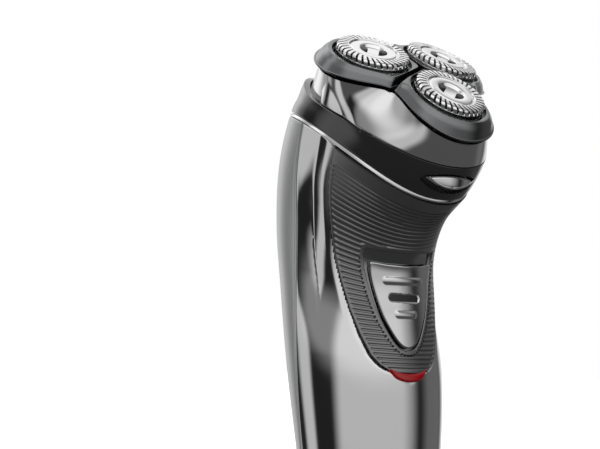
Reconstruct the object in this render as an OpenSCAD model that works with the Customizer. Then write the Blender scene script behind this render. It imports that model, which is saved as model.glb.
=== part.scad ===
// Cordless rotary shaver with three floating shaving heads.
// Millimetres, +Z up, front towards -Y. The origin is the mouth of the charging inlet,
// at the centre of the flat base that the shaver stands on.

/* [Handle] */
// Wall thickness of the casing shells
wall = 1.8; // [1.6:0.1:2]
// Squareness of the handle's cross-section, 1 is an ellipse
squareness = 0.93; // [0.9:0.01:1]
// Seam gap between two casing pieces
seam_gap = 0.15; // [0.1:0.05:0.2]
// Depth to which the rubber grip is let into the shell
grip_depth = 1.1; // [0.9:0.1:1.2]
// How far the rubber grip stands proud of the shell
grip_proud = 0.3; // [0.1:0.1:0.4]

/* [Head] */
// Tilt of the shaving head from the horizontal
head_tilt = 30; // [30:1:30]
// Position of the head's centre, forward of the base
head_y = -15; // [-15:1:-15]
// Height of the head's centre above the base
head_z = 152; // [152:1:152]
// Outward tilt of each shaving unit
comb_tilt = 6.3; // [6:0.1:6.6]
// Radius of the circle on which the three combs lie
comb_circle = 15.3; // [15.2:0.1:15.4]
// Diameter of one comb
comb_d = 22; // [21.8:0.1:22]
// How far a comb stands above its petal
comb_rise = 2.2; // [2:0.1:2.4]
// Number of slots in a comb
comb_slots = 36; // [24:3:42]
// Half of the gap between two petals
petal_gap = 0.45; // [0.4:0.05:0.5]

/* [Drive] */
// Gear module
gear_module = 0.9; // [0.9:0.01:0.9]
// Teeth on the motor pinion
pinion_teeth = 15; // [15:1:15]
// Teeth on each drive gear
gear_teeth = 18; // [18:1:18]
// Thinning of each tooth, for free running
backlash = 0.25; // [0.2:0.05:0.35]
// Diameter of the motor
motor_d = 22; // [20:0.5:22]
// Length of the motor can
motor_len = 26; // [22:1:27]

/* [Power] */
// Diameter of a rechargeable cell
cell_d = 14.2; // [13.5:0.1:14.4]
// Length of a rechargeable cell
cell_len = 49; // [44:1:50]
// Radius of the charging inlet
inlet_r = 3.1; // [2.9:0.1:3.4]

/* [Hidden] */
$fn = 48;

// The handle is a stack of tilted rings. Each row is one ring:
// front y, front z, back y, back z, half width, rise of the sides, seam angle from the front.
STATIONS = [
    [-15.5,   0.0, 15.5,   0.0, 17.5, 0.0, 105],
    [-16.2,  15.0, 17.7,  15.0, 19.7, 0.0, 104],
    [-16.3,  38.0, 21.5,  38.0, 22.2, 0.0, 103],
    [-15.0,  60.0, 27.0,  62.0, 23.6, 0.0,  97],
    [-11.2,  80.0, 33.0,  86.0, 22.9, 1.0,  92],
    [-10.2,  93.0, 37.0, 106.0, 22.8, 2.8,  89],
    [-15.6, 104.0, 37.0, 124.0, 23.4, 5.2,  95],
    [-27.5, 113.2, 32.2, 139.4, 24.3, 7.0, 104],
    [-32.7, 122.0, 26.4, 146.7, 24.6, 3.2, 105],
    [-33.2, 129.6, 18.2, 159.0, 25.0, 0.0, 105]];
SHELL_FROM = 0.375;    // ring where the shells start, just above the base cap
SHELL_TO = 6.84;       // ring where the shells end, under the rim
COLLAR_FROM = 6.94;
COLLAR_TO = 8;
BASE_TOP = 4;

// Outlines seen from the front, as x and z. The right half is given and mirrored.
GRIP_EDGE = [[0, 62.2], [4, 62.3], [7.3, 62.9], [9.6, 64.6], [11.8, 67.4], [14.3, 73.2], [16.1, 80.2],
    [17.4, 87.5], [18.6, 95], [19.6, 101.6], [20.6, 108], [21.7, 115], [22.7, 121], [23.6, 128], [23.8, 136]];
TRACK_EDGE = [[0, 68.4], [2.2, 68.8], [4.2, 70.2], [6.2, 73], [8.7, 78], [10.6, 84], [12.8, 94], [13, 98.6],
    [9, 97.9], [0, 97.4]];
SLIDER_EDGE = [[0, 69.4], [1.8, 69.8], [3.5, 71.1], [5.5, 74], [7.8, 78.6], [9.6, 84.4], [11.4, 92.6],
    [11.2, 94.2], [6, 93.7], [0, 93.5]];
LENS_EDGE = [[0, 59.4], [3, 59.7], [5.6, 60.8], [7.4, 62.6], [4, 61.95], [0, 61.85]];
BUTTON_EDGE = [[0, 115.9], [3.4, 116.3], [6.4, 117.4], [8.6, 118.9], [5, 119.3], [0, 119.5]];

HEADS = [-90, 30, 150];            // directions of the front, right and left shaving units
GAPS = [-30, 90, 210];             // directions of the gaps between petals
HINGE = [27.7, 147.3];             // y and z of the head's hinge
SPINDLE_R = gear_module*(pinion_teeth + gear_teeth)/2;
GEAR_TOP = 25.6;                   // depths below the head's centre, along the head's axis
GEAR_FLOOR = 28.4;
PLATE_TOP = 29;
MOTOR_TOP = 31;
DECK_DEPTH = 21.2;                 // depth of the deck's top face at the head's axis
DECK_SLOPE = 0.129;
DECK_TILT = 22.68;
FRAME_TOP = 9.4;                   // depth of the head frame's top face
PIVOT_R = 27.8;                    // a petal's pivot: its distance from the head's axis, and its depth
PIVOT_DEPTH = 7;
SCREW_R = 19;                      // distance of the deck's screws from the head's axis

// ---- surface of the casing ----

function blend(a, b, c, d, t) =
    0.5*(2*b + (c - a)*t + (2*a - 5*b + 4*c - d)*t*t + (3*b - a - 3*c + d)*t*t*t);
function station(s) =
    let(last = len(STATIONS) - 1, i = min(floor(s), last - 1))
    blend(STATIONS[max(i - 1, 0)], STATIONS[i], STATIONS[i + 1], STATIONS[min(i + 2, last)], s - i);
function squared(c) = sign(c)*pow(abs(c), squareness);
// Point of ring s at angle b from the front, moved inwards by inset
function skin(s, b, inset = 0) =
    let(q = station(s),
        half = [(q[2] - q[0])/2, (q[3] - q[1])/2],
        shrink = 1 - inset/norm(half),
        depth = squared(cos(b))*shrink)
    [(q[4] - inset)*squared(sin(b)),
     (q[0] + q[2])/2 - half[0]*depth,
     (q[1] + q[3])/2 - half[1]*depth + q[5]*pow(sin(b), 2)];
function seam(s) = station(s)[6];

// ---- grids of points made into solids ----

// Closed wall between an outer and an inner grid of rows x cols points.
// With loop = true the columns close on themselves.
module wall_solid(outer, inner, rows, cols, loop = false) {
    n = rows*cols;
    last = loop ? cols : cols - 1;
    function at(r, c) = r*cols + c % cols;
    sheets = [for (r = [0:rows - 2], c = [0:last - 1]) each [
        [at(r, c), at(r + 1, c), at(r + 1, c + 1)], [at(r, c), at(r + 1, c + 1), at(r, c + 1)],
        [n + at(r, c), n + at(r + 1, c + 1), n + at(r + 1, c)],
        [n + at(r, c), n + at(r, c + 1), n + at(r + 1, c + 1)]]];
    ends = [for (c = [0:last - 1]) each [
        [at(0, c), at(0, c + 1), n + at(0, c + 1)], [at(0, c), n + at(0, c + 1), n + at(0, c)],
        [at(rows - 1, c), n + at(rows - 1, c), n + at(rows - 1, c + 1)],
        [at(rows - 1, c), n + at(rows - 1, c + 1), at(rows - 1, c + 1)]]];
    sides = loop ? [] : [for (r = [0:rows - 2]) each [
        [at(r, 0), n + at(r, 0), n + at(r + 1, 0)], [at(r, 0), n + at(r + 1, 0), at(r + 1, 0)],
        [at(r, cols - 1), at(r + 1, cols - 1), n + at(r + 1, cols - 1)],
        [at(r, cols - 1), n + at(r + 1, cols - 1), n + at(r, cols - 1)]]];
    polyhedron(concat(outer, inner), concat(sheets, ends, sides), convexity = 8);
}

// Piece of the casing between two rings, from angle lo(s) to angle hi(s)
module casing(from, to, lo, hi, outer, inner, rows, cols) {
    function grid(inset) = [for (r = [0:rows], c = [0:cols])
        let(s = from + (to - from)*r/rows) skin(s, lo(s) + (hi(s) - lo(s))*c/cols, inset)];
    wall_solid(grid(outer), grid(inner), rows + 1, cols + 1);
}

// Whole ring of the casing
module casing_ring(from, to, outer, inner, rows, cols) {
    function grid(inset) = [for (r = [0:rows], c = [0:cols - 1])
        skin(from + (to - from)*r/rows, 360*c/cols, inset)];
    wall_solid(grid(outer), grid(inner), rows + 1, cols, true);
}

// Patch on the front of the casing
module front_patch(from, to, reach, outer, inner, rows, cols)
    casing(from, to, function (s) -reach, function (s) reach, outer, inner, rows, cols);

// Prism along Y, in front of the casing's middle, from the right half of an outline
module front_prism(edge, grow = 0) {
    left = [for (i = [len(edge) - 1:-1:0]) if (edge[i][0] > 0) [-edge[i][0], edge[i][1]]];
    rotate([90, 0, 0]) linear_extrude(60) offset(delta = grow) polygon(concat(edge, left));
}

// ---- frames of the head ----

module in_head() translate([0, head_y, head_z]) rotate([head_tilt, 0, 0]) children();
module below_head(depth) in_head() translate([0, 0, -depth]) children();
// Frame of one shaving unit: X outwards, Z along its comb's axis, origin at the head's centre
module in_unit(k) in_head() rotate([0, 0, HEADS[k]]) rotate([0, comb_tilt, 0]) children();
module on_comb(k) in_unit(k) translate([comb_circle, 0, 0]) children();
module on_spindle(k, depth = 0)
    in_head() rotate([0, 0, HEADS[k]]) translate([SPINDLE_R, 0, -depth]) children();

// Three-lobed outline of the head, by the angle from the middle of a lobe
function lobe(a) = 25.93 + 6.1*cos(3*a) - 1.03*cos(6*a);
function petal_bottom(a) = 6.3 + 2.2*cos(3*a);
function head_point(r, a, depth) =
    let(u = r*cos(a), v = r*sin(a))
    [u, head_y + v*cos(head_tilt) + depth*sin(head_tilt), head_z + v*sin(head_tilt) - depth*cos(head_tilt)];

// ---- casing ----

module rear_cover() color("#a9abad")
    casing(SHELL_FROM, SHELL_TO, function (s) seam(s) + 0.3, function (s) 359.7 - seam(s), 0, wall, 22, 16);

module front_shell() color("#c9c7c3")
    difference() {
        casing(SHELL_FROM, SHELL_TO, function (s) 0.3 - seam(s), function (s) seam(s) - 0.3, 0, wall + 0.4, 22, 20);
        intersection() {
            front_patch(2.9, SHELL_TO + 0.1, 86, -1, grip_depth + 0.1, 14, 16);
            front_prism(GRIP_EDGE, seam_gap);
        }
        front_prism(LENS_EDGE, seam_gap);
        // slot for the slider's stem
        translate([-1.7, -20, 80]) cube([3.4, 20, 9]);
    }

module base_outline(inset) {
    q = STATIONS[0];
    polygon([for (a = [0:7.5:352.5])
        [(q[4] - inset)*squared(sin(a)), -(q[2] - inset)*squared(cos(a))]]);
}

module base_cap() color("#3a3b3d")
    difference() {
        linear_extrude(BASE_TOP) base_outline(0);
        translate([0, 0, -1]) cylinder(r = inlet_r, h = BASE_TOP + 2);
    }

// Knuckles of the head's hinge, as cylinders along X
module knuckle(from, to, r) translate([from, HINGE[0], HINGE[1]]) rotate([0, 90, 0]) cylinder(r = r, h = to - from);

module collar_band() color("#17181a")
    difference() {
        union() {
            difference() {
                casing_ring(COLLAR_FROM, COLLAR_TO, 0, wall, 5, 60);
                knuckle(-3.5, 3.5, 2.4);
                front_prism(BUTTON_EDGE, 0.3);
            }
            for (side = [-1, 1])
                intersection() {
                    union() {
                        knuckle(side*5.25 - 1.75, side*5.25 + 1.75, 1.9);
                        translate([side*5.25 - 1.75, HINGE[0] - 3, HINGE[1] - 5]) cube([3.5, 4.2, 4.6]);
                    }
                    translate([-10, HINGE[0] - 2.1, 130]) cube([20, 10, 30]);
                }
        }
        knuckle(-8, 8, 0.95);
    }

module collar_rim() color("#8c8e91")
    casing_ring(SHELL_TO + 0.01, COLLAR_FROM - 0.01, 0.25, wall, 1, 60);

module grip_panel() color("#1b1c1e")
    difference() {
        intersection() {
            front_patch(2.9, SHELL_TO - 0.02, 84, -grip_proud, grip_depth, 14, 16);
            front_prism(GRIP_EDGE);
        }
        front_prism(TRACK_EDGE, 0.1);
    }

module switch_track() color("#101113")
    difference() {
        intersection() {
            front_patch(3.2, 5.8, 70, 0.7, grip_depth - 0.1, 14, 16);
            front_prism(TRACK_EDGE, -0.1);
        }
        translate([-1.7, -20, 80]) cube([3.4, 20, 9]);
    }

module power_slider() color("#b9bbbd") {
    difference() {
        intersection() {
            front_patch(3.2, 5.6, 60, -0.9, 0.1, 8, 10);
            front_prism(SLIDER_EDGE);
        }
        // dark window between the two finger bars
        intersection() {
            front_patch(3.9, 4.9, 40, -1.5, -0.5, 4, 6);
            front_prism([[0, 82.8], [4.6, 82.8], [5.7, 84], [4.6, 85.2], [0, 85.2]]);
        }
    }
    // stem through the track to the switch
    translate([-1.4, -10.9, 80.5]) cube([2.8, 4.7, 5.2]);
}

module status_lens() color("#c2182a")
    intersection() {
        front_patch(2.7, 3.3, 30, 0.05, wall + 0.2, 4, 8);
        front_prism(LENS_EDGE);
    }

// ---- release button ----

module release_button() color("#1d1e20")
    intersection() {
        front_patch(7.05, 7.95, 34, -0.9, wall, 5, 12);
        front_prism(BUTTON_EDGE);
    }

// Plate behind the button, with an arm whose nose lies over the head's catch
module latch_hook() color("#56585b") {
    translate([-8.2, -25.3, 117]) cube([16.4, 1, 3]);
    translate([-2.5, -27.9, 117.2]) cube([5, 2.8, 1.2]);
    translate([-3.2, -28, 118.8]) cube([6.4, 3.7, 1.2]);
    translate([-3.2, -28, 118.8]) cube([6.4, 1.2, 9.4]);
    translate([-3.2, -29.6, 127.2]) cube([6.4, 2, 1]);
}

// Helical spring from z = 0 to z = h
module coil_spring(r, wire, turns, h, steps = 12) {
    n = turns*steps;
    sides = 6;
    rings = [for (k = [0:n], j = [0:sides - 1])
        let(a = 360*k/steps, b = 360*j/sides, rr = r + wire*cos(b))
        [rr*cos(a), rr*sin(a), wire + (h - 2*wire)*k/n + wire*sin(b)]];
    tube = [for (k = [0:n - 1], j = [0:sides - 1]) let(a = k*sides, m = (j + 1) % sides)
        [a + j, a + sides + j, a + sides + m, a + m]];
    caps = [[for (j = [0:sides - 1]) j], [for (j = [sides - 1:-1:0]) n*sides + j]];
    polyhedron(rings, concat(tube, caps), convexity = 10);
}

module button_springs() color("#c0c2c4")
    for (side = [-1, 1])
        translate([7*side, -24.25, 118.5]) rotate([-90, 0, 0]) coil_spring(1.1, 0.18, 2, 2.6, 10);

// ---- head ----

// Skirt from the collar's parting line up to the petals' rims
module housing_shell() {
    rows = 6;
    cols = 72;
    function shell_point(t, b, inset) =
        let(low = skin(COLLAR_TO + 0.02, b, inset),
            high = head_point(lobe(b) - 1.2 - 0.55*inset, b - 90, petal_bottom(b) + 0.8))
        low + (high - low)*t;
    function grid(inset) = [for (r = [0:rows], c = [0:cols - 1]) shell_point(r/rows, 360*c/cols, inset)];
    wall_solid(grid(0), grid(wall - 0.2), rows + 1, cols, true);
}

module head_housing() color("#77797c")
    difference() {
        union() {
            difference() {
                housing_shell();
                for (side = [-1, 1]) knuckle(side*5.25 - 2.05, side*5.25 + 2.05, 2.4);
            }
            intersection() {
                union() {
                    knuckle(-3.2, 3.2, 1.9);
                    translate([-3.2, HINGE[0] - 2.6, HINGE[1] + 0.3]) cube([6.4, 3, 3.6]);
                }
                translate([-10, HINGE[0] - 2.4, 140]) cube([20, 10, 30]);
            }
        }
        knuckle(-4, 4, 0.95);
    }

module lobed_outline(inset)
    polygon([for (b = [0:5:355]) (lobe(b) - inset)*[cos(b - 90), sin(b - 90)]]);

// Plate across the head, with an eye for each shaving unit and a lug for each petal's pivot
module head_frame() color("#2a2b2d")
    difference() {
        union() {
            below_head(FRAME_TOP + 1.2) linear_extrude(1.2) lobed_outline(3.7);
            for (a = HEADS)
                below_head(FRAME_TOP + 1.2) rotate([0, 0, a]) translate([PIVOT_R - 0.8, -2.1, 0])
                    cube([1.5, 4.2, FRAME_TOP - PIVOT_DEPTH + 2.1]);
        }
        for (a = HEADS) {
            below_head(FRAME_TOP + 2) rotate([0, 0, a]) translate([14.3, 0, 0]) cylinder(r = 11.2, h = 3);
            pivot_line(a, 3, 0.52);
        }
        below_head(FRAME_TOP + 2) cylinder(r = 1.85, h = 3);
    }

module pivot_line(a, half, r)
    below_head(PIVOT_DEPTH) rotate([0, 0, a]) translate([PIVOT_R, half, 0]) rotate([90, 0, 0])
        cylinder(r = r, h = 2*half);

module petal_pins() color("#b4b6b8")
    for (a = HEADS) pivot_line(a, 5, 0.5);

// Block inside the head's front wall that the latch holds
module latch_catch() color("#2f3032")
    translate([-4, 0, 0]) rotate([90, 0, 90]) linear_extrude(8)
        polygon([[-32.2, 125.4], [-30, 125.4], [-30, 126.9], [-33.1, 126.9]]);

module hinge_pin() color("#b4b6b8") knuckle(-6.9, 6.9, 0.9);

module retaining_plate() color("#3b3c3f")
    difference() {
        below_head(FRAME_TOP + 2.6) union() {
            for (a = HEADS) rotate([0, 0, a]) translate([14.2, 0, 0]) cylinder(r = 11.4, h = 1.2);
            cylinder(r = 6.5, h = 1.2);
        }
        for (a = HEADS)
            below_head(FRAME_TOP + 3) rotate([0, 0, a]) translate([14.2, 0, 0]) cylinder(r = 8.6, h = 2);
        below_head(FRAME_TOP + 3) cylinder(r = 1.85, h = 2);
    }

module lock_wheel() color("#8f9194") {
    below_head(FRAME_TOP + 4.4) cylinder(r = 4.8, h = 1.6);
    below_head(FRAME_TOP + 5.6) translate([-4, -0.8, 0]) cube([8, 1.6, 1.4]);
    below_head(FRAME_TOP + 3) cylinder(r = 1.8, h = 3);
}

// ---- shaving units ----

// One petal: a solid sector of the head around its comb, with a sloping rim
module petal_solid() {
    // outline by angle from the petal's middle, with how much of the wall's slope each point takes
    side = [[12, 0.15], [7, 0.1]];
    function edge_point(t, s) = [t*cos(60) + petal_gap*sin(60), s*(t*sin(60) - petal_gap*cos(60))];
    arc = [for (a = [-57:6:57]) [lobe(a)*[cos(a), sin(a)], abs(a) > 55 ? 0.6 : 1, petal_bottom(a)]];
    rim = concat(
        [[[1.155*petal_gap, 0], 0.1, 5]],
        [for (p = [side[1], side[0], [lobe(60), 0.4]]) [edge_point(p[0], -1), p[1], 5 - p[0]/20]],
        arc,
        [for (p = [[lobe(60), 0.4], side[0], side[1]]) [edge_point(p[0], 1), p[1], 5 - p[0]/20]]);
    n = len(rim);
    centre = [comb_circle, 0];
    // each layer: wall inset, and the share of the way from the sloping top to the rim
    layers = [[2.6, 0], [1.9, 0.06], [1.5, 0.2], [0.8, 0.6], [0.2, 0.9], [0, 1]];
    points = [for (layer = layers, p = rim)
        let(d = p[0] - centre, q = centre + d*(1 - layer[0]*p[1]/norm(d)), top = -q[0]*tan(comb_tilt))
        [q[0], q[1], top*(1 - layer[1]) - p[2]*layer[1]]];
    m = len(layers);
    walls = [for (k = [0:m - 2], j = [0:n - 1]) let(a = k*n, e = (j + 1) % n) each
        [[a + j, a + e, a + n + e], [a + j, a + n + e, a + n + j]]];
    top = [[for (j = [n - 1:-1:0]) j]];
    bottom = [for (j = [0:n - 1]) [(m - 1)*n + j, (m - 1)*n + (j + 1) % n, m*n]];
    polyhedron(concat(points, [[comb_circle, 0, -6]]), concat(walls, top, bottom), convexity = 4);
}

module petal(k) color("#4a4c4f")
    difference() {
        in_head() rotate([0, 0, HEADS[k]]) petal_solid();
        on_comb(k) translate([0, 0, -12]) cylinder(r = comb_d/2 + 0.3, h = 16, $fn = 64);
        on_comb(k) translate([0, 0, -12.9]) cylinder(r = comb_d/2 + 1.2, h = 10, $fn = 64);
        below_head(PIVOT_DEPTH + 5) rotate([0, 0, HEADS[k]]) translate([PIVOT_R - 1.1, -2.5, 0])
            cube([2.2, 5, 6.5]);
        pivot_line(HEADS[k], 5.3, 0.55);
    }

module comb(k) color("#d6d8da") {
    r = comb_d/2;
    h = comb_rise;
    on_comb(k) difference() {
        rotate_extrude($fn = 72) polygon([[0, h - 0.9], [3.8, h - 0.9], [4.3, h - 0.15], [6.8, h - 0.15],
            [7.1, h - 0.5], [7.4, h - 0.4], [7.8, h], [r - 0.7, h], [r - 0.2, h - 0.2], [r, h - 0.6],
            [r, -3.4], [r + 0.9, -3.4], [r + 0.9, -4.2], [r - 0.7, -4.2], [r - 0.7, h - 0.7], [7.4, h - 0.7],
            [7.2, h - 1.05], [4.4, h - 1.05], [3.9, h - 1.6], [0, h - 1.6]]);
        for (i = [0:comb_slots - 1])
            rotate([0, 0, 360*i/comb_slots]) translate([8, -0.25, 0.6]) cube([4, 0.5, 3]);
    }
}

// Rotor under a comb: a ring of blades on a hub that sits on the spindle's tip
module cutter(k) color("#bfc1c3")
    on_comb(k) {
        rotate_extrude($fn = 48) polygon([[0, -0.9], [2.6, -2.4], [2.6, -2.6], [3.6, -4], [4.4, -4], [4.4, -0.6],
            [9.9, -0.6], [9.9, 0.3], [7.7, 0.3], [7.7, -0.1], [0, -0.1]]);
        for (i = [0:11])
            rotate([0, 0, 30*i]) translate([7.75, -0.225, 0.3]) cube([2.1, 0.45, comb_rise - 1.3]);
    }

// ---- drive ----

module spindle(k) color("#e4e4e2")
    on_spindle(k) rotate_extrude($fn = 32) polygon([[0, -5.2], [0.7, -5.3], [1.4, -6], [1.4, -18], [2.2, -18],
        [2.2, -19.5], [1.4, -19.5], [1.4, -20], [0, -20]]);

module spindle_spring(k) color("#c0c2c4")
    on_spindle(k, 25) coil_spring(1.9, 0.2, 3, 5.4, 10);

// Spur gear lying in the XY plane, with a tooth centred on +X
module gear_outline(teeth) {
    r = gear_module*teeth/2;
    half = 90/teeth;
    slim = backlash/2/r*180/PI;
    function tooth(a) = [
        (r - gear_module)*[cos(a - 1.45*half), sin(a - 1.45*half)],
        r*[cos(a - half + slim), sin(a - half + slim)],
        (r + 0.85*gear_module)*[cos(a - 0.45*half), sin(a - 0.45*half)],
        (r + 0.85*gear_module)*[cos(a + 0.45*half), sin(a + 0.45*half)],
        r*[cos(a + half - slim), sin(a + half - slim)],
        (r - gear_module)*[cos(a + 1.45*half), sin(a + 1.45*half)]];
    polygon([for (i = [0:teeth - 1]) each tooth(360*i/teeth)]);
}

// Drive gear with the sleeve that carries its spindle
module drive_gear(k) color("#e9e7df") {
    // turned so that its teeth meet the pinion's, which has a tooth on +X
    a = HEADS[k];
    phase = 180 + (pinion_teeth*a - 180)/gear_teeth;
    difference() {
        union() {
            on_spindle(k, GEAR_FLOOR) rotate([0, 0, phase])
                linear_extrude(GEAR_FLOOR - GEAR_TOP) gear_outline(gear_teeth);
            on_spindle(k, GEAR_FLOOR) cylinder(r = 3.2, h = GEAR_FLOOR - 15.6);
        }
        on_spindle(k, 25.2) cylinder(r = 2.26, h = 12);
        on_spindle(k, GEAR_FLOOR + 1) cylinder(r = 1.25, h = 3.4);
    }
}

function deck_depth(v) = DECK_DEPTH + DECK_SLOPE*v;

// Plate that closes the handle under the head, with a boss round each sleeve and screw
module drive_deck() color("#26272a")
    difference() {
        union() {
            translate([0, -3.15, 134.35]) rotate([DECK_TILT, 0, 0]) translate([0, 0, -1.9])
                linear_extrude(1.7) deck_outline();
            for (k = [0:2]) {
                depth = deck_depth(SPINDLE_R*sin(HEADS[k]));
                on_spindle(k, depth + 1) cylinder(r = 4.8, h = depth - 15);
            }
            for (a = GAPS) {
                depth = deck_depth(SCREW_R*sin(a));
                below_head(depth + 1) rotate([0, 0, a]) translate([SCREW_R, 0, 0]) cylinder(r = 2.8, h = 1.8);
            }
            for (side = [-1, 1])
                translate([side*7.3 - 1.3, -21.6, 116.8]) cube([2.6, 0.6, 8.4]);
        }
        for (k = [0:2]) on_spindle(k, 30) cylinder(r = 3.6, h = 20);
        for (a = GAPS) below_head(30) rotate([0, 0, a]) translate([SCREW_R, 0, 0]) cylinder(r = 1, h = 20);
        // notch for the latch's arm
        translate([-4.2, -40, 110]) cube([8.4, 14.6, 30]);
    }

module deck_outline()
    polygon([for (b = [0:6:354]) [21.4*squared(sin(b)), -29.4*squared(cos(b))]]);

module deck_screws() color("#b4b6b8")
    for (a = GAPS) {
        depth = deck_depth(SCREW_R*sin(a));
        below_head(depth - 0.8) rotate([0, 0, a]) translate([SCREW_R, 0, 0]) difference() {
            cylinder(r = 1.9, h = 1);
            translate([-1.3, -0.2, 0.5]) cube([2.6, 0.4, 1]);
            translate([-0.2, -1.3, 0.5]) cube([0.4, 2.6, 1]);
        }
        below_head(depth + 6) rotate([0, 0, a]) translate([SCREW_R, 0, 0]) cylinder(r = 0.88, h = 7);
    }

// Plate under the gears, with three posts for the deck's screws
module gear_plate() color("#55575a")
    difference() {
        union() {
            below_head(PLATE_TOP + 1.6) linear_extrude(1.6) translate([0, 2, 0])
                polygon([for (b = [0:6:354]) [20.4*squared(sin(b)), -27*squared(cos(b))]]);
            for (a = GAPS)
                below_head(PLATE_TOP + 0.1) rotate([0, 0, a]) translate([SCREW_R, 0, 0])
                    cylinder(r = 2.2, h = PLATE_TOP - deck_depth(SCREW_R*sin(a)) - 2.6);
        }
        for (a = GAPS) below_head(PLATE_TOP + 3) rotate([0, 0, a]) translate([SCREW_R, 0, 0]) cylinder(r = 0.9, h = 20);
        for (k = [0:2]) on_spindle(k, PLATE_TOP + 3) cylinder(r = 1.2, h = 6);
        below_head(PLATE_TOP + 3) cylinder(r = 2.5, h = 6);
    }

module gear_axles() color("#b4b6b8")
    for (k = [0:2]) on_spindle(k, PLATE_TOP + 1.6) cylinder(r = 1.2, h = 4.4);

module motor_pinion() color("#cfae62") {
    below_head(GEAR_FLOOR) linear_extrude(GEAR_FLOOR - GEAR_TOP) gear_outline(pinion_teeth);
    below_head(MOTOR_TOP + 3) cylinder(r = 1, h = MOTOR_TOP + 3 - GEAR_FLOOR);
}

module motor_can() color("#9a9ca0")
    difference() {
        below_head(MOTOR_TOP + motor_len) union() {
            cylinder(r = motor_d/2, h = motor_len);
            translate([0, 0, -2]) cylinder(r = 4, h = 2);
        }
        below_head(MOTOR_TOP + 3.5) cylinder(r = 1.05, h = 4);
    }

// ---- handle interior ----

module inner_frame() color("#3f4144")
    difference() {
        union() {
            translate([0, 0.8, 16.6]) cylinder(r = 13.2, h = 1.6);
            translate([-13, -2.8, 18.2]) cube([26, 1.2, 92]);
            translate([-14, -1.6, 73]) cube([28, 16, 1.6]);
            below_head(46) cylinder(r = 13, h = 5);
        }
        below_head(60) cylinder(r = motor_d/2 + 0.05, h = 30);
    }

module cell(side) {
    color("#5f7d5a") translate([side*7.4, 6, 20]) cylinder(r = cell_d/2, h = cell_len);
    color("#c0c2c4") translate([side*7.4, 6, 20 + cell_len]) cylinder(r = 2.7, h = 1);
}

module cell_left() cell(-1);
module cell_right() cell(1);

module cell_tabs() color("#c8b48a") {
    for (side = [-1, 1]) {
        translate([side*7.4 - 2.5, 3.5, 21 + cell_len]) cube([5, 5, 0.3]);
        translate([side*7.4 - 2.5, 3.5, 19.4]) cube([5, 5, 0.6]);
    }
    translate([-5, 5, 19.4]) cube([10, 2, 0.6]);
}

module circuit_board() color("#2c6a45") {
    difference() {
        translate([0, -3, 0]) rotate([90, 0, 0]) linear_extrude(1.4)
            polygon([[-13, 20], [13, 20], [13, 80], [8, 87], [8, 94], [-8, 94], [-8, 87], [-13, 80]]);
        for (z = [30, 70]) translate([11, 0, z]) rotate([90, 0, 0]) cylinder(r = 1, h = 10);
    }
    for (z = [24, 34, 44]) color("#222") translate([-8, -5.6, z]) cube([7, 1.2, 5]);
    color("#222") translate([2, -5.8, 28]) cube([8, 1.4, 8]);
}

module switch_block() color("#1e1f21")
    difference() {
        translate([-4, -7.4, 76]) cube([8, 3, 16]);
        translate([-1.8, -12, 79.6]) cube([3.6, 6.4, 10]);
    }

module status_led() color("#e8c8c0")
    translate([0, -4.4, 60.5]) rotate([90, 0, 0]) union() {
        cylinder(r = 1.5, h = 4.6);
        translate([0, 0, 4.6]) sphere(r = 1.5);
    }

module charge_socket() color("#1a1b1d") {
    difference() {
        translate([0, 0, BASE_TOP + 0.1]) cylinder(r = inlet_r + 2.4, h = 11);
        translate([0, 0, BASE_TOP - 1]) cylinder(r = inlet_r + 0.4, h = 9);
    }
    color("#c8b48a") for (side = [-1, 1]) translate([side*1.25, 0, BASE_TOP + 0.6]) cylinder(r = 0.5, h = 8);
}

module petal_front() petal(0);
module petal_right() petal(1);
module petal_left() petal(2);
module comb_front() comb(0);
module comb_right() comb(1);
module comb_left() comb(2);
module cutter_front() cutter(0);
module cutter_right() cutter(1);
module cutter_left() cutter(2);
module spindle_front() spindle(0);
module spindle_right() spindle(1);
module spindle_left() spindle(2);
module spindle_spring_front() spindle_spring(0);
module spindle_spring_right() spindle_spring(1);
module spindle_spring_left() spindle_spring(2);
module drive_gear_front() drive_gear(0);
module drive_gear_right() drive_gear(1);
module drive_gear_left() drive_gear(2);

rear_cover();
front_shell();
base_cap();
collar_band();
collar_rim();
grip_panel();
switch_track();
power_slider();
status_lens();
release_button();
latch_hook();
button_springs();
head_housing();
head_frame();
latch_catch();
hinge_pin();
petal_pins();
retaining_plate();
lock_wheel();
petal_front();
petal_right();
petal_left();
comb_front();
comb_right();
comb_left();
cutter_front();
cutter_right();
cutter_left();
spindle_front();
spindle_right();
spindle_left();
spindle_spring_front();
spindle_spring_right();
spindle_spring_left();
drive_gear_front();
drive_gear_right();
drive_gear_left();
drive_deck();
deck_screws();
gear_plate();
gear_axles();
motor_pinion();
motor_can();
inner_frame();
cell_left();
cell_right();
cell_tabs();
circuit_board();
switch_block();
status_led();
charge_socket();
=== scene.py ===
# %% [markdown]
# # A rotary shaver
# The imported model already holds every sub-part of the shaver at its true size, so this
# script adds what the eye needs: smooth casing skins, fine combs, finishes and light.
# The first cell loads that model as a fixed frame. Nothing in it is moved or resized,
# and every new piece rides on one of its bodies.

# %% Load the fixed frame
import math

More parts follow.
